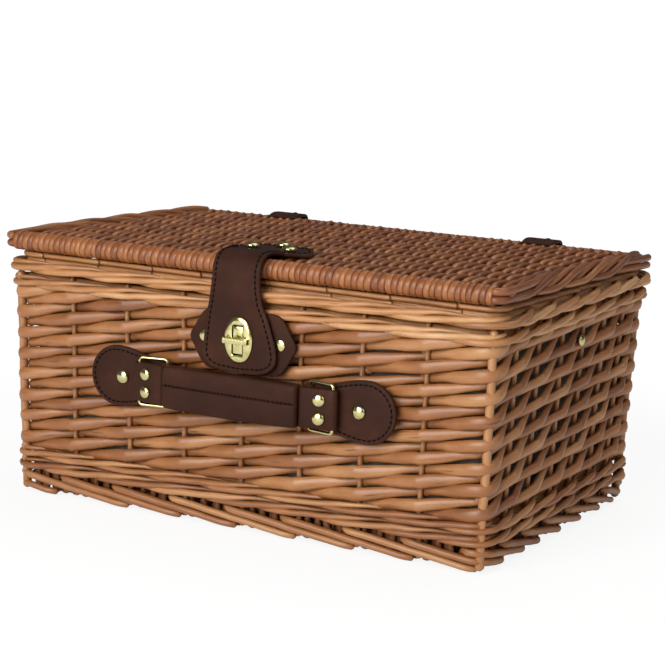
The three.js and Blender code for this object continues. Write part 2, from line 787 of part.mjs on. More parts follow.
// Hanging strap: straight neck, widening to a round lobe, with a slot for the lock's post
function slotPath(width, height, x, z) {
  const path = new THREE.Path();
  path.moveTo(x - width / 2, z - height / 2);
  path.lineTo(x - width / 2, z + height / 2);
  path.lineTo(x + width / 2, z + height / 2);
  path.lineTo(x + width / 2, z - height / 2);
  path.closePath();
  return path;
}
const haspEndZ = haspBend.y - haspDrop;
const lobeZ = haspEndZ + lobeRise;
function haspOutline() {
  const outline = new THREE.Shape();
  const neck = neckWidth / 2;
  const lobe = lobeWidth / 2;
  const neckZ = haspBend.y - neckLength;
  const bulge = (neckZ - lobeZ) / 2;
  const slotX = lockX - fittingsX;
  const left = slotX - lobe;
  const right = slotX + lobe;
  const roundX = lobeRoundness * lobe;
  const roundZ = lobeZ - lobeRoundness * lobeRise;
  outline.moveTo(-neck, haspBend.y);
  outline.lineTo(-neck, neckZ);
  outline.bezierCurveTo(-neck, neckZ - bulge, left, lobeZ + bulge, left, lobeZ);
  outline.bezierCurveTo(left, roundZ, slotX - roundX, haspEndZ, slotX, haspEndZ);
  outline.bezierCurveTo(slotX + roundX, haspEndZ, right, roundZ, right, lobeZ);
  outline.bezierCurveTo(right, lobeZ + bulge, neck, neckZ - bulge, neck, neckZ);
  outline.lineTo(neck, haspBend.y);
  outline.closePath();
  outline.holes.push(slotPath(slotWidth + 2 * slotMargin, slotHeight + 2 * slotMargin, slotX, lockZ));
  return outline;
}
const haspSheet = plateFrom(haspOutline(), leather, 6).translate(0, -haspY + leather / 2, 0);
const haspRoll = pinAlongX(leather / 2, neckWidth, 10).translate(0, -haspY, haspBend.y);
piece('hasp_strap', join(haspSheet, haspRoll).translate(fittingsX, 0, 0), finishes.leather);

const plateBackY = -haspY - leather / 2 - clearance;
function plateOutline() {
  const outline = new THREE.Shape();
  outline.absellipse(0, 0, plateWidth / 2, plateHeight / 2, 0, 2 * Math.PI);
  outline.holes.push(slotPath(slotWidth, slotHeight, 0, 0));
  return outline;
}
piece('hasp_plate', plateFrom(plateOutline(), plateThickness, 12, plateBevel)
  .translate(lockX, plateBackY, lockZ), finishes.brass);

// Lock patch on the wall, the lock's flange and post, and the turn button
function patchOutline() {
  const outline = new THREE.Shape();
  const halfX = patchWidth / 2;
  const halfZ = patchHeight / 2;
  const tip = patchTip / 2;
  const elbowZ = (halfZ + tip) / 2;
  outline.moveTo(-patchFlat, -halfZ);
  outline.lineTo(patchFlat, -halfZ);
  outline.bezierCurveTo(patchShoulder, -halfZ, patchElbow, -elbowZ, halfX, -tip);
  outline.lineTo(halfX, tip);
  outline.bezierCurveTo(patchElbow, elbowZ, patchShoulder, halfZ, patchFlat, halfZ);
  outline.lineTo(-patchFlat, halfZ);
  outline.bezierCurveTo(-patchShoulder, halfZ, -patchElbow, elbowZ, -halfX, tip);
  outline.lineTo(-halfX, -tip);
  outline.bezierCurveTo(-patchElbow, -elbowZ, -patchShoulder, -halfZ, -patchFlat, -halfZ);
  outline.closePath();
  return outline;
}
piece('lock_patch', plateFrom(patchOutline(), patchThickness, 5)
  .translate(lockX, patchBackY, lockZ - patchDrop), finishes.leather);
for (const [name, side] of [['lock_patch_rivet_left', -1], ['lock_patch_rivet_right', 1]]) {
  const x = lockX + (side * patchRivetSpread) / 2;
  rivet(name, rivetRadius, lowRivetHeight, [x, patchFrontY - clearance, lockZ - patchRivetDrop], 'front');
}
const flangeBackY = patchFrontY - clearance;
const flangeFrontY = flangeBackY - lockFlangeThickness;
const plateFrontY = plateBackY - plateThickness;
const postFrontY = plateFrontY + postSink;
const postDepth = flangeFrontY - postFrontY + lockFlangeThickness / 2;
const flange = blockOf(lockFlangeWidth, lockFlangeThickness, lockFlangeHeight)
  .translate(lockX, (flangeBackY + flangeFrontY) / 2, lockZ);
const post = blockOf(postWidth, postDepth, postHeight)
  .translate(lockX, postFrontY + postDepth / 2, lockZ);
const stemHole = pinAlongY(stemRadius + clearance, 2 * (stemDepth + clearance), 12)
  .translate(lockX, postFrontY, lockZ);
piece('lock_base', cut(join(flange, post), stemHole), finishes.brass);

// Ribbed wing of the turn button, lying across the slot while the lock is shut
function wingOutline() {
  const points = [];
  const steps = 2 * buttonRibs;
  for (const side of [1, -1]) {
    for (let k = 0; k <= steps; k += 1) {
      const half = buttonHeight / 2 - (k % 2 ? 0 : buttonRibDepth);
      const x = side * (-buttonLength / 2 + (buttonLength * k) / steps);
      points.push(new THREE.Vector2(x, side * half));
    }
  }
  return new THREE.Shape(points);
}
const wingBackY = plateFrontY - clearance;
const wing = plateFrom(wingOutline(), buttonDepth, 1).translate(lockX, wingBackY, lockZ);
const stemLength = stemDepth + postFrontY - wingBackY + buttonDepth / 2;
const stem = pinAlongY(stemRadius, stemLength, 12)
  .translate(lockX, postFrontY + stemDepth - stemLength / 2, lockZ);
piece('turn_button', join(wing, stem), finishes.brass);

// Handle. In plan, each ring turns on its tab's bar and lies back over the tab; the end loop holds the
// ring's outer bar and runs back to the end of the grip.
const ringAngle = radians(ringRestAngle);
const wireRadius = ringWire / 2;
const tabBackY = -(halfDepth(handleZ + tabWidth / 2) + rodOut + clearance);
const ringPivot = new THREE.Vector2(ringPivotX, tabBackY - tabFoldRadius);
const ringOuter = new THREE.Vector2(Math.cos(ringAngle), -Math.sin(ringAngle))
  .multiplyScalar(ringReach).add(ringPivot);
const gripPivot = new THREE.Vector2(ringPivotX, ringPivot.y - 2 * ringReach * Math.sin(ringAngle));

function uprightPin(centre, radius, height, sides) {
  return pinAlongY(radius, height, sides).rotateX(Math.PI / 2).translate(centre.x, centre.y, 0);
}

function tabGeometry() {
  const outline = new THREE.Shape();
  const neck = loopHeight / 2;
  const half = tabWidth / 2;
  const flare = (tabRoundX - ringPivotX) / 3;
  outline.moveTo(ringPivotX, -neck);
  outline.bezierCurveTo(ringPivotX + flare, -neck, tabRoundX - flare, -half, tabRoundX, -half);
  outline.absellipse(tabRoundX, 0, tabEndX - tabRoundX, half, -Math.PI / 2, Math.PI / 2);
  outline.bezierCurveTo(tabRoundX - flare, half, ringPivotX + flare, neck, ringPivotX, neck);
  outline.closePath();
  const sheet = plateFrom(outline, tabThickness, 8).translate(0, tabBackY, 0);
  const fold = uprightPin(ringPivot, tabFoldRadius, loopHeight, 12);
  return cut(join(sheet, fold), uprightPin(ringPivot, wireRadius + runningGap, tabWidth, 10));
}

function ringGeometry() {
  const halfX = ringReach / 2;
  const halfZ = ringHeight / 2 - wireRadius;
  const spine = [];
  const turns = 3;
  for (const [sx, sz, start] of [[1, 1, 0], [-1, 1, 90], [-1, -1, 180], [1, -1, 270]]) {
    for (let t = 0; t <= turns; t += 1) {
      const angle = radians(start + (90 * t) / turns);
      spine.push(new THREE.Vector2(
        sx * (halfX - ringCorner) + ringCorner * Math.cos(angle),
        sz * (halfZ - ringCorner) + ringCorner * Math.sin(angle),
      ));
    }
  }
  const sides = 8;
  const sections = spine.map((point, k) => {
    const before = spine[(k + spine.length - 1) % spine.length];
    const after = spine[(k + 1) % spine.length];
    const along = after.clone().sub(before).normalize();
    const outward = new THREE.Vector2(along.y, -along.x);
    return Array.from({ length: sides }, (_, s) => {
      const angle = (2 * Math.PI * s) / sides;
      const spot = point.clone().addScaledVector(outward, wireRadius * Math.cos(angle));
      return new THREE.Vector3(spot.x + halfX, wireRadius * Math.sin(angle), spot.y);
    });
  });
  return skin(sections, true).rotateZ(-ringAngle).translate(ringPivot.x, ringPivot.y, 0);
}

// End loop in its own frame: the ring's bar at the origin, the grip's hinge at -ringReach along X
function endLoopGeometry() {
  const outline = new THREE.Shape();
  outline.absarc(0, 0, endFoldRadius, -Math.PI / 2, Math.PI / 2);
  outline.absarc(-ringReach, 0, endKnuckleRadius, Math.PI / 2, 1.5 * Math.PI);
  outline.closePath();
  const bore = new THREE.Path();
  bore.absarc(0, 0, wireRadius + runningGap, 0, 2 * Math.PI);
  outline.holes.push(bore);
  return new THREE.ExtrudeGeometry(outline, {
    depth: loopHeight,
    curveSegments: 6,
    bevelEnabled: false,
  }).translate(0, 0, -loopHeight / 2);
}

// Padded grip with a creased front
function gripGeometry() {
  const halfX = ringPivotX - endKnuckleRadius - knuckleGap;
  const stations = [[-halfX, gripEndDraw], [-0.9 * halfX, 0], [0.9 * halfX, 0], [halfX, gripEndDraw]];
  const sections = stations.map(([x, draw]) => {
    const y = gripDepth / 2 - draw;
    const z = gripHeight / 2 - draw;
    const outline = [
      [y, z - gripRound], [y - gripRound / 2, z - gripRound / 3], [y - gripRound, z],
      [-y + gripRound, z], [-y, z - gripRound], [-y, 2 * gripCrease], [-y + gripCrease, 0],
      [-y, -2 * gripCrease], [-y, -z + gripRound], [-y + gripRound, -z],
      [y - gripRound, -z], [y - gripRound / 2, -z + gripRound / 3], [y, -z + gripRound],
    ];
    return outline.map(([a, b]) => new THREE.Vector3(x, a, b));
  });
  return skin(sections, false);
}

const handle = new THREE.Group();
handle.position.set(fittingsX, 0, handleZ);
hamper.add(handle);
for (const [name, side] of [['left', -1], ['right', 1]]) {
  const turned = (geometry) => (side < 0 ? mirrored(geometry) : geometry);
  piece(`handle_tab_${name}`, turned(tabGeometry()), finishes.leather, handle);
  const tabFrontY = tabBackY - tabThickness - clearance;
  rivet(`handle_tab_rivet_${name}`, bigRivetRadius, bigRivetHeight,
    [side * tabRivetX, tabFrontY, 0], 'front', handle);
  piece(`ring_${name}`, turned(ringGeometry()), finishes.brass, handle);
  const endLoop = endLoopGeometry().rotateZ(ringAngle).translate(ringOuter.x, ringOuter.y, 0);
  piece(`handle_end_${name}`, turned(endLoop), finishes.leather, handle);
  const across = new THREE.Vector2(-Math.cos(ringAngle), -Math.sin(ringAngle));
  const out = new THREE.Vector2(Math.sin(ringAngle), -Math.cos(ringAngle));
  const share = endRivetReach / ringReach;
  const skinOut = endFoldRadius + (endKnuckleRadius - endFoldRadius) * share + clearance;
  const spot = ringOuter.clone().addScaledVector(across, endRivetReach).addScaledVector(out, skinOut);
  for (const [level, up] of [['upper', 1], ['lower', -1]]) {
    const head = rivet(`handle_end_rivet_${name}_${level}`, rivetRadius, rivetHeight,
      [side * spot.x, spot.y, (up * endRivetSpread) / 2], 'front', handle);
    head.rotation.z = Math.PI + side * ringAngle;
  }
}
const grip = gripGeometry().translate(0, gripPivot.y, 0);
piece('handle_grip', grip, finishes.leather, handle);

// Hinge straps: one leaf over the lid's back rail, one down the back of the body
const hingeY = rimFaceY + clearance + hingeLeather / 2;
const hinge = onLid(hingeY, -hingeAxisDrop);
const hingeX = bodyLength / 2 - hingeInset;
const leafTopZ = lidCrest + clearance + hingeLeather / 2;
const lidLeafOutline = strapOutline([
  new THREE.Vector2(hingeY, -hingeAxisDrop),
  new THREE.Vector2(hingeY, leafTopZ - hingeLeather),
  new THREE.Vector2(hingeY - hingeLeather, leafTopZ),
  new THREE.Vector2(hingeY - hingeTopLength, leafTopZ),
], hingeLeather);
const bodyLeafLow = rimTopZ - hingeDrop;
const bodyLeafY = waleFaceY + clearance + hingeLeather / 2;
const bodyLeafOutline = strapOutline([
  new THREE.Vector2(hinge.x, hinge.y - hingeLeather / 2 - hingeFoldGap),
  new THREE.Vector2(hinge.x, rimZ),
  new THREE.Vector2(bodyLeafY, rimZ - 2 * hingeLeather),
  new THREE.Vector2(bodyLeafY, bodyLeafLow),
], hingeLeather);
for (const [name, side] of [['left', -1], ['right', 1]]) {
  const roll = pinAlongX(hingeLeather / 2, hingeWidth, 10).translate(0, hingeY, -hingeAxisDrop);
  const lidLeaf = join(strapFrom(lidLeafOutline, hingeWidth, 1), roll);
  piece(`hinge_lid_leaf_${name}`, lidLeaf.translate(side * hingeX, 0, 0), finishes.leather, lid);
  const bodyLeaf = strapFrom(bodyLeafOutline, hingeWidth, 1).translate(side * hingeX, 0, 0);
  piece(`hinge_body_leaf_${name}`, bodyLeaf, finishes.leather);
  rivet(`hinge_lid_rivet_${name}`, stayRivetRadius, flatRivetHeight,
    [side * hingeX, hingeY + hingeLeather / 2 + clearance, hingeRivetRise], 'back', lid);
  rivet(`hinge_body_rivet_${name}`, rivetRadius, rivetHeight,
    [side * hingeX, bodyLeafY + hingeLeather / 2 + clearance, rimTopZ - hingeRivetDrop], 'back');
}

// Stays: slack straps from a stud in each end wall to a rivet under the lid
const stayEndY = hingeY - stayLidReach;
const stayEndZ = -lidUnderside - clearance - stayThickness / 2;
const stayLid = onLid(stayEndY, stayEndZ);
const slackY = Math.max(stayWallY, stayLid.x) + stayLoop;
const slackZ = stayWallZ + stayTurnRise;
const stayOutline = strapOutline([
  new THREE.Vector2(stayWallY - stayEndHalf, stayWallZ),
  new THREE.Vector2(stayWallY + stayEndHalf, stayWallZ),
  new THREE.Vector2(slackY - stayTurnReach, slackZ - stayTurnHeight),
  new THREE.Vector2(slackY, slackZ),
  new THREE.Vector2(slackY - stayTurnReach, slackZ + stayTurnHeight),
  new THREE.Vector2(stayLid.x + stayEndHalf, stayLid.y),
  new THREE.Vector2(stayLid.x - stayEndHalf, stayLid.y),
], stayThickness);
const stayStudX = halfLength(stayWallZ) + rodOut + clearance - studBed;
const stayX = halfLength(stayWallZ) - liningInnerInset - stayGap - stayWidth / 2;
for (const [name, side] of [['left', -1], ['right', 1]]) {
  const strap = strapFrom(stayOutline, stayWidth, 1).translate(side * stayX, 0, 0);
  piece(`stay_${name}`, strap, finishes.leather);
  rivet(`stay_stud_${name}`, rivetRadius, rivetHeight, [side * stayStudX, stayWallY, stayWallZ], name);
  rivet(`stay_lid_rivet_${name}`, stayRivetRadius, lowRivetHeight,
    [side * stayX, stayEndY, stayEndZ - stayThickness / 2 - clearance], 'down', lid);
}

// The hamper's middle comes over the origin, front to back
hamper.updateMatrixWorld(true);
const reach = new THREE.Box3().setFromObject(hamper, true);
hamper.position.y = -(reach.min.y + reach.max.y) / 2;
hamper.updateMatrixWorld(true);

export default hamper;
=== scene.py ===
"""Finished looks of a willow picnic hamper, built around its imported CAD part.

Everything is in metres, in the frame of the CAD part: X left to right, Y front to back, Z up.
"""
from __future__ import annotations

import json
import logging
import math
from contextlib import contextmanager
from dataclasses import dataclass, field
from enum import Enum
from typing import Callable, Iterable, Iterator, Sequence

import bmesh
import bpy
import numpy as np
from mathutils import Matrix, Vector

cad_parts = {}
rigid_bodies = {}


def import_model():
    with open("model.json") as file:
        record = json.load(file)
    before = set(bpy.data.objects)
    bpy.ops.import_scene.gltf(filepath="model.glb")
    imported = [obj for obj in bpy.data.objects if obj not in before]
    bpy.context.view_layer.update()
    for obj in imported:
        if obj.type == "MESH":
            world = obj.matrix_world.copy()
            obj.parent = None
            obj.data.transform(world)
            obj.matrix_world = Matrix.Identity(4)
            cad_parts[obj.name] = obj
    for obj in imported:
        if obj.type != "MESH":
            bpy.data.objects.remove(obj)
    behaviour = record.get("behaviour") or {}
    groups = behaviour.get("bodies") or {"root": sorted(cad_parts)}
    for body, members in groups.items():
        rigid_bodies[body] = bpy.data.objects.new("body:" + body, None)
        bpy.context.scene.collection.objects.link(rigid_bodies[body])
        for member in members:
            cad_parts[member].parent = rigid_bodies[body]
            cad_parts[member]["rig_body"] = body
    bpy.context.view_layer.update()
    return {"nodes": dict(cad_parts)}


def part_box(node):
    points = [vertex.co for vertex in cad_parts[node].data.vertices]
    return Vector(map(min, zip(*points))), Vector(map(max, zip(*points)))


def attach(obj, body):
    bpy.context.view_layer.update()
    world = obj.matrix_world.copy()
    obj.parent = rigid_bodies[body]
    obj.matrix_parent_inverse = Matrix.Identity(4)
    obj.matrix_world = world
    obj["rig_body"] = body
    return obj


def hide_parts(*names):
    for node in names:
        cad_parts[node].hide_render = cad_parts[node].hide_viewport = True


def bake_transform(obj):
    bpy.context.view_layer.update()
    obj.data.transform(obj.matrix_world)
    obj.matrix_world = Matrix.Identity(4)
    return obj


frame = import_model()

log = logging.getLogger("hamper")
rng = np.random.default_rng(19)

Colour = tuple[float, float, float, float]
Point = tuple[float, float, float]

SIDES = (("left", -1), ("right", 1))


def srgb(code: str) -> Colour:
    """Linear colour of a six-digit hex code."""
    parts = [int(code[k:k + 2], 16) / 255 for k in (0, 2, 4)]
    red, green, blue = (c / 12.92 if c <= 0.04045 else ((c + 0.055) / 1.055) ** 2.4 for c in parts)
    return red, green, blue, 1.0


# ---------------------------------------------------------------- shader building


class Term:
    """A value on a node socket. Arithmetic on it adds Math nodes."""

    def __init__(self, recipe: Recipe, socket: bpy.types.NodeSocket) -> None:
        """Keeps the socket and the recipe that it belongs to."""
        self.recipe = recipe
        self.socket = socket

    def _math(self, operation: str, *values: Term | float) -> Term:
        """The result of one Math node."""
        return self.recipe.term("ShaderNodeMath", {"operation": operation}, dict(enumerate(values)))

    def __add__(self, other: Term | float) -> Term:
        """Sum."""
        return self._math("ADD", self, other)

    def __sub__(self, other: Term | float) -> Term:
        """Difference."""
        return self._math("SUBTRACT", self, other)

    def __rsub__(self, other: float) -> Term:
        """Difference from a number."""
        return self._math("SUBTRACT", other, self)

    def __mul__(self, other: Term | float) -> Term:
        """Product."""
        return self._math("MULTIPLY", self, other)

    __radd__ = __add__
    __rmul__ = __mul__

    def sine(self) -> Term:
        """Sine."""
        return self._math("SINE", self)

    def cosine(self) -> Term:
        """Cosine."""
        return self._math("COSINE", self)

    def size(self) -> Term:
        """The value without its sign."""
        return self._math("ABSOLUTE", self)

    def below(self, limit: float) -> Term:
        """1 where the value is less than the limit, else 0."""
        return self._math("LESS_THAN", self, limit)

    def ramp(self, low: float, high: float) -> Term:
        """0 below low, 1 above high and a smooth step between them."""
        values = {"Value": self, "From Min": low, "From Max": high}
        return self.recipe.term("ShaderNodeMapRange", {"interpolation_type": "SMOOTHSTEP"}, values)


Feed = Term | bpy.types.NodeSocket | float | Sequence[float]


class Recipe:
    """One node material in the making: a Principled shader and what feeds it."""

    def __init__(self, name: str) -> None:
        """Starts an empty material with its shader linked to the output."""
        self.material = bpy.data.materials.new(name)
        self.material.use_nodes = True
        self.tree = self.material.node_tree
        self.tree.nodes.clear()
        self.shader = self.node("ShaderNodeBsdfPrincipled")
        self.node("ShaderNodeOutputMaterial", values={"Surface": self.shader.outputs[0]})

    def feed(self, socket: bpy.types.NodeSocket, value: Feed) -> None:
        """Links or sets one input socket."""
        if isinstance(value, Term):
            value = value.socket
        if isinstance(value, bpy.types.NodeSocket):
            self.tree.links.new(value, socket)
        else:
            socket.default_value = value

    def node(self, kind: str, settings: dict | None = None,
             values: dict | None = None) -> bpy.types.Node:
        """Adds a node.

        Args:
            kind: The node's type.
            settings: Properties that are set first; "stops" gives a ramp's positions and colours.
            values: A number, colour, Term or socket for each input, by name or number.

        Returns:
            The new node.
        """
        made = self.tree.nodes.new(kind)
        for key, value in (settings or {}).items():
            if key == "stops":
                elements = made.color_ramp.elements
                while len(elements) < len(value):
                    elements.new(0.5)
                for element, (position, colour) in zip(elements, value):
                    element.position = position
                    element.color = colour
            else:
                setattr(made, key, value)
        for key, value in (values or {}).items():
            self.feed(made.inputs[key], value)
        return made

    def term(self, kind: str, settings: dict | None = None, values: dict | None = None,
             output: int | str = 0) -> Term:
        """The same as node, but gives one of its outputs for arithmetic."""
        return Term(self, self.node(kind, settings, values).outputs[output])

    def colours(self, value: Term, *stops: tuple[float, Colour]) -> bpy.types.NodeSocket:
        """Colour that goes through the stops as the value goes from 0 to 1."""
        return self.node("ShaderNodeValToRGB", {"stops": stops}, {"Fac": value}).outputs[0]

    def mix(self, share: Term | float, first: Feed, second: Feed) -> bpy.types.NodeSocket:
        """Colour between two colours."""
        values = {0: share, 6: first, 7: second}
        return self.node("ShaderNodeMix", {"data_type": "RGBA"}, values).outputs[2]

    def noise(self, vector: Feed, scale: float, detail: float = 3.0,
              roughness: float = 0.55) -> Term:
        """Soft noise from 0 to 1."""
        values = {"Vector": vector, "Scale": scale, "Detail": detail, "Roughness": roughness}
        return self.term("ShaderNodeTexNoise", None, values)

    def vector(self, x: Term | float, y: Term | float, z: Term | float) -> bpy.types.NodeSocket:
        """Vector from three values."""
        return self.node("ShaderNodeCombineXYZ", None, {0: x, 1: y, 2: z}).outputs[0]

    def parts(self, vector: Feed) -> list[Term]:
        """The three values of a vector."""
        split = self.node("ShaderNodeSeparateXYZ", None, {0: vector})
        return [Term(self, socket) for socket in split.outputs]

    def grain(self) -> list[Term]:
        """Distance along a rod, in metres, and share of the way round it."""
        return self.parts(self.node("ShaderNodeUVMap", {"uv_map": "Grain"}).outputs[0])[:2]

    def place(self) -> bpy.types.NodeSocket:
        """Place on the object, in metres."""
        return self.node("ShaderNodeTexCoord").outputs["Object"]

    def bump(self, height: Term, strength: float, distance: float) -> None:
        """Raises and sinks the surface by a height from 0 to 1 times the distance."""
        values = {"Height": height, "Strength": strength, "Distance": distance}
        self.set(Normal=self.node("ShaderNodeBump", None, values).outputs[0])

    def set(self, **values: Feed) -> None:
        """Feeds the shader's own sockets; an underscore in a name stands for a space."""
        for name, value in values.items():
            self.feed(self.shader.inputs[name.replace("_", " ")], value)


@dataclass(frozen=True)
class WillowFinish:
    """Peeled and buffed willow: each rod has its own tone, with fibres, mottling and knots."""

    name: str
    deep: str
    middle: str
    pale: str
    knot: str
    roughness: float = 0.45
    coat: float = 0.35

    def material(self) -> bpy.types.Material:
        """Builds the material; it reads the rods' Grain map and rod attribute."""
        mat = Recipe(self.name)
        rod = mat.node("ShaderNodeSeparateColor", None, {0: mat.node(
            "ShaderNodeAttribute", {"attribute_name": "rod"}).outputs["Color"]})
        tone, seed = Term(mat, rod.outputs[0]), Term(mat, rod.outputs[1])
        along, around = mat.grain()
        turn = around * math.tau
        ring_x, ring_y = turn.cosine(), turn.sine()
        fibres = mat.noise(mat.vector(along * 34, ring_x * 5, ring_y * 5 + seed * 90), 1.0, 4, 0.65)
        clouds = mat.noise(mat.vector(along * 42, seed * 70, ring_y * 0.6), 1.0, 2, 0.5)
        specks = mat.noise(mat.place(), 900, 2, 0.6)
        knots = mat.term("ShaderNodeTexVoronoi", {"feature": "F1"}, {
            "Vector": mat.vector(along * 17, ring_x * 1.3, ring_y * 1.3 + seed * 60), "Scale": 1.0})
        shade = tone * 0.62 + clouds * 0.62 + fibres * 0.34 - 0.32
        body = mat.colours(shade, (0.0, srgb(self.deep)), (0.48, srgb(self.middle)),
                           (1.0, srgb(self.pale)))
        marked = mat.mix((1 - knots.ramp(0.07, 0.14)) * 0.8, body, srgb(self.knot))
        dirty = mat.mix(specks.ramp(0.62, 0.74) * 0.35, marked, srgb(self.deep))
        mat.set(Base_Color=dirty, Roughness=fibres * 0.20 + (self.roughness - 0.10),
                Coat_Weight=self.coat, Coat_Roughness=0.36)
        mat.bump(fibres * 0.8 + clouds * 0.4 - (1 - knots.ramp(0.06, 0.16)) * 0.5, 0.5, 0.0005)
        return mat.material


@dataclass(frozen=True)
class CutFinish:
    """Cut ends of rods: pale pith with a darker rim of skin."""

    name: str = "willow_cut"
    pale: str = "e2c49a"
    dark: str = "a87a4c"

    def material(self) -> bpy.types.Material:
        """Builds the material."""
        mat = Recipe(self.name)
        grain = mat.noise(mat.place(), 1400, 3)
        mat.set(Base_Color=mat.mix(grain.ramp(0.35, 0.7), srgb(self.pale), srgb(self.dark)),
                Roughness=0.7)
        mat.bump(grain, 0.6, 0.0003)
        return mat.material


@dataclass(frozen=True)
class LeatherFinish:
    """Smooth dark leather: pores and creases, a dull sheen, and worn patches."""

    name: str = "leather"
    colour: str = "391f14"
    dark: str = "2e1810"
    worn: str = "45291e"

    def material(self) -> bpy.types.Material:
        """Builds the material."""
        mat = Recipe(self.name)
        place = mat.place()
        pores = mat.term("ShaderNodeTexVoronoi", {"feature": "DISTANCE_TO_EDGE"},
                         {"Vector": place, "Scale": 950.0})
        creases = mat.noise(place, 240, 5, 0.6)
        patches = mat.noise(place, 28, 3)
        base = mat.mix(patches.ramp(0.3, 0.7), srgb(self.dark), srgb(self.colour))
        rubbed = (creases * patches).ramp(0.30, 0.42) * 0.5
        mat.set(Base_Color=mat.mix(rubbed, base, srgb(self.worn)),
                Roughness=0.36 + creases * 0.18, Specular_IOR_Level=0.10)
        mat.bump(pores.ramp(0.0, 0.14) * 0.7 + creases * 0.8, 0.35, 0.0004)
        return mat.material


@dataclass(frozen=True)
class ThreadFinish:
    """Waxed dark sewing thread, twisted along its length; its near-black colour is partly painted
    shade of stitches sunk in the leather.
    """

    name: str = "thread"
    # Near-black: dark thread, and partly painted shade of the sunk stitch holes.
    colour: str = "120a08"
    dark: str = "080403"

    def material(self) -> bpy.types.Material:
        """Builds the material."""
        mat = Recipe(self.name)
        along, around = mat.grain()
        twist = (along * 9000 + around * math.tau).sine()
        mat.set(Base_Color=mat.mix(twist.ramp(-0.6, 0.8), srgb(self.dark), srgb(self.colour)),
                Roughness=0.7, Specular_IOR_Level=0.1)
        mat.bump(twist, 0.5, 0.0002)
        return mat.material


@dataclass(frozen=True)
class BrassFinish:
    """Polished pale brass with fine rubbing marks."""

    name: str = "brass"
    colour: str = "d4cc94"
    dull: str = "9f9455"

    def material(self) -> bpy.types.Material:
        """Builds the material."""
        mat = Recipe(self.name)
        place = mat.place()
        clouds = mat.noise(place, 160, 3)
        marks = mat.noise(place, 2600, 2)
        mat.set(Base_Color=mat.mix(clouds.ramp(0.4, 0.8) * 0.6, srgb(self.colour), srgb(self.dull)),
                Roughness=0.12 + clouds * 0.12, Metallic=1.0)
        mat.bump(marks, 0.08, 0.0001)
        return mat.material


@dataclass(frozen=True)
class CanvasFinish:
    """Plain-woven grey canvas."""

    name: str = "canvas"
    light: str = "645d55"
    dark: str = "3c3731"
    thread: float = 0.0011

    def material(self) -> bpy.types.Material:
        """Builds the material."""
        mat = Recipe(self.name)
        x, y, z = mat.parts(mat.place())
        pitch = math.tau / self.thread
        weft, warp = (z * pitch).sine(), ((x + y) * pitch).sine()
        slub = mat.noise(mat.place(), 420, 3)
        weave = weft * warp * 0.5 + 0.5
        mat.set(Base_Color=mat.mix(weave * 0.6 + slub * 0.4, srgb(self.dark), srgb(self.light)),
                Roughness=0.92)
        mat.bump(weave, 0.5, 0.0003)
        return mat.material


class Finishes:
    """All of the hamper's materials, each built once."""

    def __init__(self) -> None:
        """Builds them."""
        willow, pale, lid = (WillowFinish(*row).material() for row in (
            ("willow", "683716", "935d30", "bd8c5c", "3c1d0b"),
            ("pale_willow", "7a4a25", "ad7745", "d6ae80", "4a2810"),
            ("lid_willow", "5c2b0e", "864c22", "a86e3d", "371807", 0.44, 0.30)))
        self.willow, self.pale_willow, self.lid_willow = willow, pale, lid
        self.cut = CutFinish().material()
        self.leather = LeatherFinish().material()
        self.thread = ThreadFinish().material()
        self.brass = BrassFinish().material()
        self.canvas = CanvasFinish().material()


# ---------------------------------------------------------------- meshes


def smooth_step(share: np.ndarray) -> np.ndarray:
    """Eases a share from 0 to 1 in and out."""
    share = np.clip(share, 0, 1)
    return share * share * (3 - 2 * share)


def distances(path: np.ndarray) -> np.ndarray:
    """Distance along a path at each of its points."""
    return np.concatenate([[0], np.cumsum(np.linalg.norm(np.diff(path, axis=0), axis=1))])


class End(Enum):
    """How a rod ends."""

    ROUND = "round"
    CUT = "cut"
    SLANT = "slant"


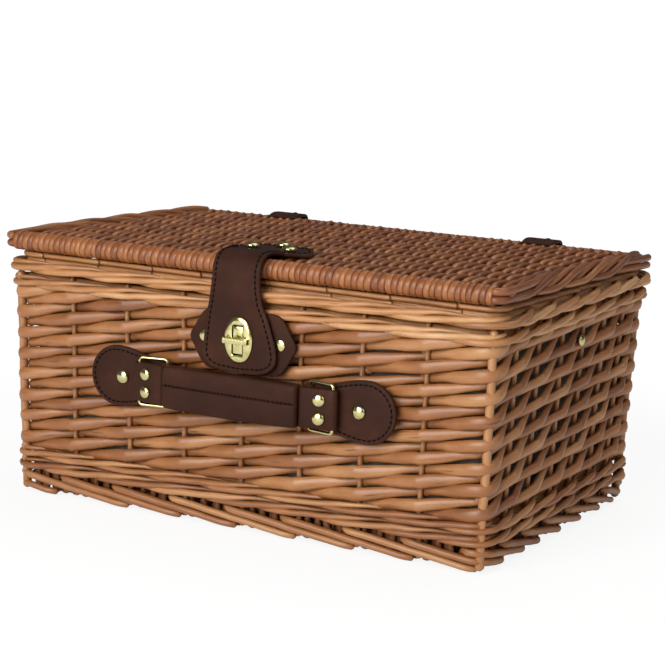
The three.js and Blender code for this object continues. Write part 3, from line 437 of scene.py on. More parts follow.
@dataclass
class Bundle:
    """Gathers swept rods and makes one mesh of them, with a Grain map and a tone for each rod."""

    sides: int = 10
    boxy: float = 1.0
    points: list[np.ndarray] = field(default_factory=list)
    faces: list[list[int]] = field(default_factory=list)
    grain: list[np.ndarray] = field(default_factory=list)
    rods: list[np.ndarray] = field(default_factory=list)
    slots: list[int] = field(default_factory=list)
    count: int = 0

    def add(self, path: np.ndarray, outs: np.ndarray | Sequence[float], thick: np.ndarray | float,
            tall: np.ndarray | float, ends: tuple[End, End] = (End.ROUND, End.ROUND),
            tone: float | None = None, closed: bool = False) -> None:
        """Sweeps an oval section along a path.

        Args:
            path: Points of the centre line.
            outs: A direction roughly across the path, one for all or one for each point; the
                section is thick that way.
            thick: Half thickness, one number or one for each point.
            tall: Half height across that.
            ends: How the first and the last end are cut.
            tone: 0 dark to 1 pale; random when left out.
            closed: Whether the path runs back into its start.
        """
        count = len(path)
        outs = np.broadcast_to(np.asarray(outs, float), path.shape)
        thick, tall = (np.broadcast_to(np.asarray(half, float), (count,)).copy()
                       for half in (thick, tall))
        if closed:
            along = np.roll(path, -1, 0) - np.roll(path, 1, 0)
        else:
            along = np.gradient(path, axis=0)
        along /= np.linalg.norm(along, axis=1)[:, None]
        up = np.cross(outs, along)
        up /= np.linalg.norm(up, axis=1)[:, None]
        out = np.cross(along, up)
        if not closed:
            arrays = self._rounded([path, along, up, out, thick, tall], ends)
            path, along, up, out, thick, tall = arrays
            count = len(path)
        angle = np.arange(self.sides) * math.tau / self.sides
        across, high = (np.sign(part) * np.abs(part) ** self.boxy
                        for part in (np.cos(angle), np.sin(angle)))
        ring = (path[:, None] + out[:, None] * (thick[:, None] * across)[..., None]
                + up[:, None] * (tall[:, None] * high)[..., None])
        if not closed:
            for row, style, sign in ((0, ends[0], -1), (count - 1, ends[1], 1)):
                if style is End.SLANT:
                    lean = sign * 0.9 * thick[row] * np.cos(angle)
                    ring[row] += along[row] * lean[:, None]
        spans = count if closed else count - 1
        row = np.arange(spans)[:, None]
        side = np.arange(self.sides)[None, :]
        after = (side + 1) % self.sides
        lower, upper = row * self.sides, ((row + 1) % count) * self.sides
        quads = np.stack([lower + side, upper + side, upper + after, lower + after], -1)
        quads = quads.reshape(-1, 4)
        self.faces += (quads + self.count).tolist()
        run = distances(path)
        run = np.append(run, run[-1] + run[1])
        shape = (spans, self.sides)
        u = [np.broadcast_to(run[k:spans + k, None], shape) for k in (0, 1)]
        v = [np.broadcast_to((side + k) / self.sides, shape) for k in (0, 1)]
        corners = [np.stack([u[a], v[b]], -1) for a, b in ((0, 0), (1, 0), (1, 1), (0, 1))]
        self.grain.append(np.stack(corners, 2).reshape(-1, 2))
        self.slots += [0] * len(quads)
        if not closed:
            first = self.count + np.arange(self.sides)
            last = first[::-1] + (count - 1) * self.sides
            self.faces += [first.tolist(), last.tolist()]
            self.grain.append(np.tile([[0.0, 0.0]], (2 * self.sides, 1)))
            self.slots += [int(style is not End.ROUND) for style in ends]
        total = ring.shape[0] * self.sides
        shade = rng.beta(2.2, 2.2) if tone is None else tone
        self.rods.append(np.tile([shade, rng.random(), 0.0, 1.0], (total, 1)))
        self.points.append(ring.reshape(-1, 3))
        self.count += total

    @staticmethod
    def _rounded(arrays: list[np.ndarray], ends: tuple[End, End]) -> list[np.ndarray]:
        """Adds a narrower section at each end: it breaks a cut edge and closes a round end.

        Args:
            arrays: The path, its directions along, up and out, and the half sizes out and up.
            ends: How the first and the last end are cut.

        Returns:
            The arrays with a row more at each end.
        """
        for where, style, sign in ((0, ends[0], -1), (-1, ends[1], 1)):
            small, reach = (0.45, 0.55) if style is End.ROUND else (0.86, 0.10)
            tip = arrays[0][where] + arrays[1][where] * sign * reach * arrays[4][where]
            extra = [tip, arrays[1][where], arrays[2][where], arrays[3][where],
                     arrays[4][where] * small, arrays[5][where] * small]
            for k, value in enumerate(extra):
                value = np.asarray(value)[None]
                arrays[k] = np.concatenate([value, arrays[k]] if sign < 0 else [arrays[k], value])
        return arrays

    def make(self, name: str, *materials: bpy.types.Material) -> bpy.types.Object:
        """One object of all the rods, smooth along them and sharp at their cut ends."""
        mesh = bpy.data.meshes.new(name)
        mesh.from_pydata(np.concatenate(self.points), [], self.faces)
        mesh.uv_layers.new(name="Grain").data.foreach_set("uv", np.concatenate(self.grain).ravel())
        tones = mesh.attributes.new("rod", "FLOAT_COLOR", "POINT")
        tones.data.foreach_set("color", np.concatenate(self.rods).ravel())
        for material in materials:
            mesh.materials.append(material)
        if len(materials) > 1:
            mesh.polygons.foreach_set("material_index", self.slots)
        mesh.polygons.foreach_set("use_smooth", [len(face) == 4 for face in self.faces])
        return linked(name, mesh)


def linked(name: str, data: bpy.types.ID) -> bpy.types.Object:
    """A new object of this data, in the scene."""
    made = bpy.data.objects.new(name, data)
    bpy.context.collection.objects.link(made)
    return made


def mesh_of(name: str, points: np.ndarray, faces: Sequence[Sequence[int]]) -> bpy.types.Object:
    """A new object of points and faces."""
    mesh = bpy.data.meshes.new(name)
    mesh.from_pydata(points, [], faces)
    return linked(name, mesh)


def deselect() -> None:
    """Leaves nothing selected."""
    if bpy.context.object and bpy.context.object.mode != "OBJECT":
        bpy.ops.object.mode_set(mode="OBJECT")
    bpy.ops.object.select_all(action="DESELECT")


def choose(thing: bpy.types.Object) -> None:
    """Leaves only this object selected and active."""
    deselect()
    thing.select_set(True)
    bpy.context.view_layer.objects.active = thing


@contextmanager
def editing(thing: bpy.types.Object) -> Iterator[None]:
    """Edit mode with all of a mesh selected, for the length of a with block."""
    choose(thing)
    bpy.ops.object.mode_set(mode="EDIT")
    bpy.ops.mesh.select_all(action="SELECT")
    yield
    bpy.ops.object.mode_set(mode="OBJECT")


def settle(thing: bpy.types.Object) -> bpy.types.Object:
    """Moves an object's place into its mesh."""
    choose(thing)
    bpy.ops.object.transform_apply(location=True, rotation=True, scale=True)
    return thing


def dress(thing: bpy.types.Object, *materials: bpy.types.Material) -> bpy.types.Object:
    """Gives an object its materials in place of the ones it has."""
    thing.data.materials.clear()
    for material in materials:
        thing.data.materials.append(material)
    return thing


def smooth(thing: bpy.types.Object, degrees: float = 35) -> bpy.types.Object:
    """Shades faces smooth where they meet at less than an angle."""
    choose(thing)
    bpy.ops.object.shade_smooth_by_angle(angle=math.radians(degrees))
    return thing


def apply_modifier(thing: bpy.types.Object, kind: str, **settings: object) -> None:
    """Adds a modifier, sets it and applies it."""
    choose(thing)
    added = thing.modifiers.new(kind, kind)
    for key, value in settings.items():
        setattr(added, key, value)
    bpy.ops.object.modifier_apply(modifier=added.name)


def joined(name: str, parts: Iterable[bpy.types.Object]) -> bpy.types.Object:
    """Joins objects into one."""
    parts = list(parts)
    choose(parts[0])
    for part in parts:
        part.select_set(True)
    if len(parts) > 1:
        bpy.ops.object.join()
    made = bpy.context.object
    made.name = name
    made.data.name = name
    return made


def face_outwards(thing: bpy.types.Object) -> None:
    """Merges doubled points and turns all faces outwards."""
    with editing(thing):
        bpy.ops.mesh.remove_doubles(threshold=1e-6)
        bpy.ops.mesh.normals_make_consistent(inside=False)


def seat(piece: bpy.types.Object, body: str, slot: str, *nodes: str) -> bpy.types.Object:
    """Lets a piece ride on a body, in place of the CAD nodes named."""
    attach(piece, body)
    if nodes:
        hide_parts(*nodes)
    return piece


def traced_copy(name: str, node: str, bevel: float) -> bpy.types.Object:
    """A finer copy of a CAD node: its doubles merged and its edges broken.

    Args:
        name: Name of the new piece.
        node: CAD node that it is copied from.
        bevel: Width of the broken edges.

    Returns:
        The new piece, with no parent.
    """
    mesh = frame["nodes"][node].data.copy()
    mesh.name = name
    made = linked(name, mesh)
    with editing(made):
        bpy.ops.mesh.remove_doubles(threshold=1e-6)
        bpy.ops.mesh.dissolve_limited(angle_limit=math.radians(1))
    apply_modifier(made, "BEVEL", width=bevel, segments=3, limit_method="ANGLE",
                   angle_limit=math.radians(40), use_clamp_overlap=True)
    return smooth(made)


def plate(name: str, rims: Sequence[Sequence[tuple[float, float]]], thickness: float,
          bevel: float, turn: Matrix) -> bpy.types.Object:
    """A flat plate with rounded edges, filled inside an outline.

    Args:
        name: Name of the plate.
        rims: The outline and then its holes, each a ring of points in the plate's own plane.
        thickness: Thickness, centred on that plane.
        bevel: How far its edges are rounded.
        turn: Takes the plate's own plane, its z being the thickness, to its place.

    Returns:
        The plate as a mesh.
    """
    curve = bpy.data.curves.new(name, "CURVE")
    curve.dimensions = "2D"
    curve.fill_mode = "BOTH"
    curve.extrude = thickness / 2 - bevel
    curve.bevel_depth = bevel
    curve.offset = -bevel
    curve.bevel_resolution = 2
    for rim in rims:
        spline = curve.splines.new("POLY")
        spline.points.add(len(rim) - 1)
        for point, (x, y) in zip(spline.points, rim):
            point.co = (x, y, 0, 1)
        spline.use_cyclic_u = True
    choose(linked(name, curve))
    bpy.ops.object.convert(target="MESH")
    made = bpy.context.object
    made.matrix_world = turn
    settle(made)
    face_outwards(made)
    return smooth(made)


def upright(y: float) -> Matrix:
    """Turns a plate drawn in x and z to stand at a depth, its face to the front."""
    return Matrix.Translation((0, y, 0)) @ Matrix.Rotation(math.pi / 2, 4, "X")


def bezier(*points: tuple[float, float], steps: int = 12) -> list[tuple[float, float]]:
    """Points along a quadratic or cubic curve, its last point left out."""
    made = []
    degree = len(points) - 1
    for t in (k / steps for k in range(steps)):
        share = [math.comb(degree, j) * t ** j * (1 - t) ** (degree - j) for j in range(degree + 1)]
        made.append(tuple(sum(s * p[axis] for s, p in zip(share, points)) for axis in (0, 1)))
    return made


def arc(x: float, y: float, radius_x: float, radius_y: float, start: float, end: float,
        steps: int = 16) -> list[tuple[float, float]]:
    """Points along an oval arc, its last point left out; angles in degrees."""
    angles = [math.radians(start + (end - start) * k / steps) for k in range(steps)]
    return [(x + radius_x * math.cos(a), y + radius_y * math.sin(a)) for a in angles]


def ringed(name: str, rings: Sequence[tuple[np.ndarray, float]], turn: Matrix) -> bpy.types.Object:
    """A closed band through a loop of rings, the last one joined to the first.

    Args:
        name: Name of the piece.
        rings: Each ring's points in a plane, and its height over that plane.
        turn: Takes the plane, its z being the height, to its place.

    Returns:
        The band as a mesh.
    """
    size = len(rings[0][0])
    points = np.concatenate([np.column_stack([rim, np.full(size, lift)]) for rim, lift in rings])
    row, side = np.meshgrid(np.arange(len(rings)), np.arange(size), indexing="ij")
    after, above = (side + 1) % size, (row + 1) % len(rings)
    corners = ((row, side), (row, after), (above, after), (above, side))
    quads = np.stack([ring * size + place for ring, place in corners], -1)
    made = mesh_of(name, points, quads.reshape(-1, 4).tolist())
    made.matrix_world = turn
    settle(made)
    face_outwards(made)
    return smooth(made, 40)


def evenly(path: np.ndarray, step: float, closed: bool) -> tuple[np.ndarray, np.ndarray]:
    """Places at even steps along a path, and the path's direction there."""
    if closed:
        path = np.concatenate([path, path[:1]])
    run = distances(path)
    count = max(1, round(run[-1] / step))
    at = (np.arange(count) + 0.5) * run[-1] / count
    spots, ahead = (np.stack([np.interp(place, run, axis) for axis in path.T], 1)
                    for place in (at, at + 1e-4))
    along = ahead - spots
    return spots, along / np.maximum(np.linalg.norm(along, axis=1), 1e-12)[:, None]


@dataclass
class Stitching:
    """Sewn threads that lie on a face."""

    length: float = 0.0025
    pitch: float = 0.0040
    radius: float = 0.00050

    def sew(self, bundle: Bundle, path: np.ndarray, faces: np.ndarray | Sequence[float],
            closed: bool = True) -> None:
        """Adds one row of stitches.

        Args:
            bundle: Takes the threads.
            path: Points of the seam, on the face.
            faces: Direction in which the face looks, one for all or one for each point.
            closed: Whether the seam runs back into its start.
        """
        spots, along = evenly(path, self.pitch, closed)
        faces = np.broadcast_to(np.asarray(faces, float), path.shape)
        shape = np.linspace(-0.5, 0.5, 5)
        for spot, run in zip(spots, along):
            face = faces[np.argmin(np.linalg.norm(path - spot, axis=1))]
            rise = self.radius * (0.9 - 5.2 * shape ** 2)
            line = spot + run * (self.length * shape)[:, None] + face * rise[:, None]
            bundle.add(line, face, self.radius, self.radius * 1.15)


# ---------------------------------------------------------------- the willow body


@dataclass
class StakeLine:
    """The rounded rectangle in which the upright stakes stand; it leans out towards the rim.

    The leans say how much shorter and shallower it is at its low end, and the flares how far its
    right end moves out there and at its high end. front and side are the stakes' places from the
    middle of a wall.
    """

    half_length: float = 0.200
    half_depth: float = 0.131
    length_lean: float = 0.001
    depth_lean: float = 0.0055
    flare_low: float = -0.0020
    flare_high: float = 0.0025
    corner: float = 0.010
    corner_reach: float = 0.7
    low: float = 0.0318
    high: float = 0.1612
    front: tuple[float, ...] = tuple(0.05 * k for k in range(-3, 4))
    side: tuple[float, ...] = (-0.093, -0.055, -0.013, 0.025, 0.065, 0.101)

    def __post_init__(self) -> None:
        """Lays out the loop, from the front left corner along the front, and the stakes on it."""
        lo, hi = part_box("rim_border")
        self.middle = (lo.y + hi.y) / 2
        x, y, r = self.half_length - self.corner, self.half_depth - self.corner, self.corner
        table = []
        for cx, cy, start in ((-x, -y, 180), (x, -y, 270), (x, y, 0), (-x, y, 90), (-x, -y, 180)):
            for k in range(19):
                angle = math.radians(start + 5 * k)
                c, s = math.cos(angle), math.sin(angle)
                table.append((cx + r * c, cy + r * s, c, s))
        table = np.array(table)[9:-9]
        run = distances(table[:, :2])
        self.length = run[-1]
        self.run, self.table = run, table
        quarter = math.pi * r / 4
        ends = [0, 2 * (quarter + x), 2 * (2 * quarter + x + y), 2 * (3 * quarter + 2 * x + y)]
        stakes = [ends[0], *(quarter + x + p for p in self.front),
                  ends[1], *(ends[1] + quarter + y + p for p in self.side),
                  ends[2], *(ends[2] + quarter + x - p for p in reversed(self.front)),
                  ends[3], *(ends[3] + quarter + y - p for p in reversed(self.side))]
        self.count = len(stakes)
        first, across = len(self.front) + 1, len(self.side) + 1
        self.corners = (0, first, first + across, 2 * first + across)
        self.stakes = np.array(stakes)
        turns = range(-1, 3)
        self.counts = np.concatenate([np.arange(self.count) + t * self.count for t in turns])
        self.runs = np.concatenate([self.stakes + t * self.length for t in turns])

    def at_run(self, run: np.ndarray, z: np.ndarray,
               out: np.ndarray) -> tuple[np.ndarray, np.ndarray]:
        """Points and outward normals at distances along the loop."""
        run = np.asarray(run, float) % self.length
        x, y, nx, ny = (np.interp(run, self.run, self.table[:, k]) for k in range(4))
        size = np.hypot(nx, ny)
        nx, ny = nx / size, ny / size
        share = 1 - (z - self.low) / (self.high - self.low)
        wide = (self.half_length - self.length_lean * share) / self.half_length
        deep = (self.half_depth - self.depth_lean * share) / self.half_depth
        flare = self.flare_high * (1 - share) + self.flare_low * share
        flare = np.clip(x / self.half_length, 0, 1) * flare
        x, y = x * wide + flare + nx * out, y * deep + ny * out + self.middle
        return np.stack([x, y, z + 0 * x], -1), np.stack([nx, ny, 0 * nx], -1)

    def on_side(self, count: float) -> bool:
        """Whether a stake stands in the left or the right wall."""
        home = count % self.count
        return self.corners[1] < home < self.corners[2] or home > self.corners[3]

    def cornering(self, count: np.ndarray) -> np.ndarray:
        """1 at a corner stake, fading to 0 before the stakes next to it."""
        gap = np.abs((count % self.count)[:, None] - np.array([*self.corners, self.count])).min(1)
        return smooth_step(1 - gap / self.corner_reach)

    def at(self, count: np.ndarray, z: np.ndarray,
           out: np.ndarray) -> tuple[np.ndarray, np.ndarray]:
        """Points and outward normals at stake counts, whole numbers being stakes."""
        return self.at_run(np.interp(count, self.counts, self.runs), z, out)


def sway(count: int, size: float, waves: float = 2.0) -> np.ndarray:
    """A small smooth wobble along a rod."""
    t = np.linspace(0, math.tau * waves, count)
    a, b = rng.random(2) * math.tau
    return size * (0.6 * np.sin(t + a) + 0.4 * np.sin(2.3 * t + b))


@dataclass
class Walls:
    """Randed walls: every rod passes in front of one stake, behind the next, and climbs a row."""

    line: StakeLine
    first_crest: float = 0.0440
    pitch: float = 0.01640
    rows: int = 8
    side_lift: float = 0.0030
    out: float = 0.0048
    behind: float = -0.0050
    corner_out: float = 0.0004
    corner_reach: float = 0.0036
    stake_out: float = -0.0006
    stake_radius: float = 0.0018
    stake_low: float = 0.0040
    stake_high: float = 0.1730
    corner_stake: float = 1.7
    corner_stake_out: float = 0.0032
    wobble: float = 0.0004
    thick: float = 0.0030
    tall: float = 0.0049
    side_tall: float = 0.0039

    def crest(self, count: float, row: int) -> float:
        """Height of the rod that passes in front of a stake."""
        lift = self.side_lift if self.line.on_side(count) else 0.0
        return self.first_crest + self.pitch * row + lift

    def rod(self, bundle: Bundle, stake: int, row: int) -> None:
        """One rod from behind a stake, over the next with a kink, and behind the one after."""
        before, here, after = (self.crest(stake + k, row) for k in (-1, 0, 1))
        half = np.array([0.025, 0.07, 0.16, 0.28, 0.42, 0.56, 0.70, 0.84, 0.96, 1.10])
        t = np.concatenate([-half[::-1], [0], half])
        rise = self.pitch / 2
        z = np.interp(t, [-1, 0, 1], [before - rise, here, after + rise])
        z = z + sway(len(t), self.wobble) + rng.normal(0, self.wobble)
        size = 1 + rng.normal(0, 0.05)
        swing = np.clip(0.8 * (1 - 2 * np.abs(t)) + 0.2 * np.cos(math.pi * t), -1, None)
        corner = self.line.cornering(stake + t)
        middle = (self.out + self.behind) / 2 * (1 - corner) + self.corner_out * corner
        reach = (self.out - self.behind) / 2 * (1 - corner) + self.corner_reach * corner
        path, normals = self.line.at(stake + t, z, middle + reach * swing)
        bulge = np.cos(math.pi * np.clip(t, -1, 1) / 2) ** 2
        waist = np.where(t < 0, 0.78 + 0.22 * bulge, 0.66 + 0.34 * bulge)
        tall = self.side_tall if self.line.on_side(stake) else self.tall
        bundle.add(path, normals, self.thick * size * (0.85 + 0.15 * waist), tall * size * waist)

    def stake(self, bundle: Bundle, stake: int) -> None:
        """One upright stake, from the foot up into the rim; those in the corners are thicker."""
        z = np.linspace(self.stake_low, self.stake_high, 15)
        at_corner = stake in self.line.corners
        radius = self.stake_radius * (self.corner_stake if at_corner else 1.0)
        count = np.full(len(z), stake) + sway(len(z), 0.010, 1.2)
        out = self.stake_out + self.corner_stake_out * at_corner + sway(len(z), 0.0003)
        path, normals = self.line.at(count, z, out)
        bundle.add(path, normals, radius * 1.10, radius * np.linspace(1.12, 0.95, len(z)),
                   tone=rng.uniform(0.5, 0.9))

    def build(self, finishes: Finishes) -> list[bpy.types.Object]:
        """Builds the four walls and the four corners."""
        a, b, c, d = self.line.corners
        spans = {
            "front_wall": range(a + 1, b), "front_right_corner": range(b, b + 1),
            "right_wall": range(b + 1, c), "back_right_corner": range(c, c + 1),
            "back_wall": range(c + 1, d), "back_left_corner": range(d, d + 1),
            "left_wall": range(d + 1, self.line.count), "front_left_corner": range(a, a + 1),
        }
        made = []
        for node, stakes in spans.items():
            bundle = Bundle()
            for stake in stakes:
                self.stake(bundle, stake)
                for row in range(self.rows):
                    self.rod(bundle, stake, row)
            piece = bundle.make(node + "_rods", finishes.willow, finishes.cut)
            made.append(seat(piece, "basket", "willow", node))
        return made


@dataclass
class Wale:
    """A waled band: each rod starts behind a stake, climbs over two more and ends behind a third.

    Where laid is a height, thin rods are laid on top of the band, which makes it the rim.
    """

    line: StakeLine
    name: str
    low: float
    rise: float
    radius: float
    rounds: int = 1
    out: float = 0.0054
    behind: float = -0.0042
    start: float = 0.10
    end: float = 2.75
    pale: bool = False
    splinters: int = 0
    laid: float = 0.0
    laid_out: float = -0.0050
    laid_tilt: float = 0.0022

    def strand(self, bundle: Bundle, stake: int, low: float) -> None:
        """One rod of the band; its thin tip dips in behind the rods that follow."""
        t = np.linspace(self.start, self.end, 30)
        dip = np.clip((t - 2.0) / 0.7, 0, 1)
        climb = 0.5 + 0.64 * np.tanh(1.5 * (t - 1.5)) - 0.45 * dip * dip
        taper = np.interp(t, [0, 1.8, self.end], [1.0, 1.0, 0.4])
        tall = self.radius * (1 + rng.normal(0, 0.06)) * taper
        z = low + self.radius + self.rise * climb + sway(len(t), 0.0004)
        front = smooth_step(np.minimum(t / 0.75, self.end - t))
        out = self.behind + (self.out - self.behind) * front + 0.0008 * (0.5 - climb)
        path, normals = self.line.at(stake + t, z, out + sway(len(t), 0.0003))
        bundle.add(path, normals, tall * 1.05, tall)

    def inner_pass(self, bundle: Bundle, stake: int, low: float) -> None:
        """What a rod shows between two stakes where it runs behind them."""
        for level in (0.1, 1.0):
            z = np.full(8, low + self.radius + self.rise * level)
            out = self.behind - 0.0010 + sway(8, 0.0002)
            path, normals = self.line.at(stake + np.linspace(-0.05, 1.10, 8), z, out)
            # The darker tones of these rods are painted shade for the recess behind the stakes.
            bundle.add(path, normals, self.radius, self.radius, tone=rng.uniform(0.1, 0.5))

    def laid_rod(self, bundle: Bundle, stake: int) -> None:
        """One thin rod on the border, inside its edge, with a cut end, and two in its shade."""
        t = np.linspace(0, 1, 12)
        below = ((0, 0, 0.0020), (0.0046, 0.0030, 0.0026), (0.0098, 0.0036, 0.0026))
        for drop, inside, radius in below:
            out = self.laid_out - inside + 0.0036 * t + sway(12, 0.0003)
            count = stake + 0.3 + rng.normal(0, 0.05) + 2.1 * t
            path, normals = self.line.at(count, np.full(12, self.laid - drop), out)
            path[:, 2] -= self.laid_tilt * (path[:, 1] - self.line.middle) / self.line.half_depth
            # These rods get dark tones as painted shade for the shade under the lid's rail.
            bundle.add(path, normals, radius, radius * 0.95, (End.CUT, End.SLANT),
                       tone=rng.uniform(0.0, 0.35))

    def splinter(self, bundle: Bundle) -> None:
        """One thin splinter that stands off the band."""
        t = np.linspace(0, 1, 8)
        z = self.low + rng.uniform(0.3, 2.2) * self.radius + rng.uniform(-0.012, 0.004) * t
        count = rng.uniform(0, self.line.count) + rng.uniform(0.2, 0.42) * t
        out = self.out + self.radius * (0.8 + 0.9 * np.sin(2.4 * t))
        path, normals = self.line.at(count, z, out)
        bundle.add(path, normals, 0.00022, 0.00030 * (1.1 - t), tone=1.0)

    def build(self, finishes: Finishes) -> list[bpy.types.Object]:
        """Builds the band, round upon round."""
        bundle = Bundle(sides=9)
        for turn in range(self.rounds):
            low = self.low + 2 * self.rise * turn
            for stake in range(self.line.count):
                self.strand(bundle, stake, low)
                self.inner_pass(bundle, stake, low)
        if self.laid:
            for stake in range(self.line.count):
                self.laid_rod(bundle, stake)
        for _ in range(self.splinters):
            self.splinter(bundle)
        willow = finishes.pale_willow if self.pale else finishes.willow
        piece = bundle.make(self.name + "_rods", willow, finishes.cut)
        return [seat(piece, "basket", "willow", self.name)]


@dataclass
class Foot:
    """Border under the body: from each stake a rod sweeps down to the ground over the next two."""

    line: StakeLine
    reach: float = 2.17
    side_reach: float = 1.85
    radius: float = 0.00275
    high: float = 0.0160
    out: float = 0.0034
    tuck: float = 0.0006
    studs: int = 10
    stud_low: float = 0.0020
    stud_high: float = 0.0190
    stud_out: tuple[float, float] = (-0.0056, -0.0106)

    def rod(self, bundle: Bundle, stake: int) -> None:
        """One rod, blunt at both ends, that falls evenly to the ground."""
        t = np.linspace(0, 1, 24)
        reach = self.side_reach if self.line.on_side(stake) else self.reach
        radius = self.radius * (1 + rng.normal(0, 0.04))
        count = stake - 0.25 + rng.normal(0, 0.02) + t * reach
        z = self.high + (radius - self.high) * t + sway(len(t), 0.0002)
        front = np.clip(np.minimum(t / 0.06, (1 - t) / 0.12), 0, 1)
        out = self.tuck + (self.out - self.tuck) * front * (2 - front) + 0.0012 * (0.5 - t)
        path, normals = self.line.at(count, np.maximum(z, radius), out)
        thick = radius * (0.78 + 0.22 * np.clip(t / 0.05, 0, 1)) * (1.05 - 0.15 * t)
        bundle.add(path, normals, thick, thick)

    def build(self, finishes: Finishes) -> list[bpy.types.Object]:
        """Builds the border and the short stick ends in the shade behind it."""
        bundle = Bundle(sides=10)
        for stake in range(self.line.count):
            self.rod(bundle, stake)
            for k in range(self.studs):
                z = np.linspace(self.stud_low, self.stud_high, 5)
                count = stake + (k / 2 + 0.5 + rng.normal(0, 0.08)) / (self.studs / 2)
                count = count + rng.normal(0, 0.05) * (z - z[0]) / 0.016
                path, normals = self.line.at(count, z, self.stud_out[k % 2])
                # The studs' darkest tone is painted shade for the dark recess under the body.
                bundle.add(path, normals, 0.0018, np.linspace(0.0036, 0.0022, 5), tone=0.1)
        piece = bundle.make("foot_rods", finishes.willow, finishes.cut)
        return [seat(piece, "basket", "willow", "foot_border")]


@dataclass
class Base:
    """Woven bottom: sticks front to back, and broad weavers left to right over and under them."""

    sticks: int = 11
    weavers: int = 21
    stick_radius: float = 0.0024
    stick_inset: float = 0.017
    weaver_radius: float = 0.0020
    weaver_width: float = 0.0108

    def build(self, finishes: Finishes) -> list[bpy.types.Object]:
        """Builds the panel in the room of its CAD node."""
        lo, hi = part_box("base_panel")
        middle = (lo.z + hi.z) / 2
        down = (0, 0, -1)
        bundle = Bundle(sides=10)
        xs = np.linspace(lo.x + self.stick_inset, hi.x - self.stick_inset, self.sticks)
        for x in xs:
            y = np.linspace(lo.y, hi.y, 8)
            path = np.stack([x + sway(8, 0.0004), y, np.full(8, middle)], 1)
            bundle.add(path, down, self.stick_radius, self.stick_radius * 1.4)
        edge = self.weaver_width / 2
        for k, y in enumerate(np.linspace(lo.y + edge, hi.y - edge, self.weavers)):
            x = np.linspace(lo.x, hi.x, 12 * self.sticks)
            phase = math.pi * (x - xs[0]) / (xs[1] - xs[0]) + math.pi * (k % 2)
            swing = np.cos(phase) * (hi.z - lo.z - 2 * self.weaver_radius) / 2
            path = np.stack([x, y + sway(len(x), 0.0003), middle + swing], 1)
            bundle.add(path, down, self.weaver_radius, edge * 1.02)
        piece = bundle.make("base_rods", finishes.willow, finishes.cut)
        return [seat(piece, "basket", "willow", "base_panel")]


# ---------------------------------------------------------------- the lid


@dataclass
class LidPlane:
    """The lid's own plane: leaned so that its front stands proud, and sinking to the back."""

    middle: float
    height: float = 0.195903
    depth: float = 0.262
    tilt: float = 0.92
    drop: float = 0.0020

    def __post_init__(self) -> None:
        """Works out the lean."""
        self.cos, self.sin = math.cos(math.radians(self.tilt)), math.sin(math.radians(self.tilt))

    def place(self, x: np.ndarray, y: np.ndarray, z: np.ndarray) -> np.ndarray:
        """Points on the hamper for points in the lid's own frame."""
        x, y, z = np.broadcast_arrays(*(np.asarray(part, float) for part in (x, y, z)))
        z = z - self.drop * np.clip(0.5 + y / self.depth, 0, 1) ** 1.5
        across, up = y * self.cos + z * self.sin, z * self.cos - y * self.sin
        return np.stack([x, across + self.middle, up + self.height], -1)

    def turned(self, x: float, y: float, z: float) -> np.ndarray:
        """Direction on the hamper for a direction in the lid's own frame."""
        return np.array([x, y * self.cos + z * self.sin, z * self.cos - y * self.sin])


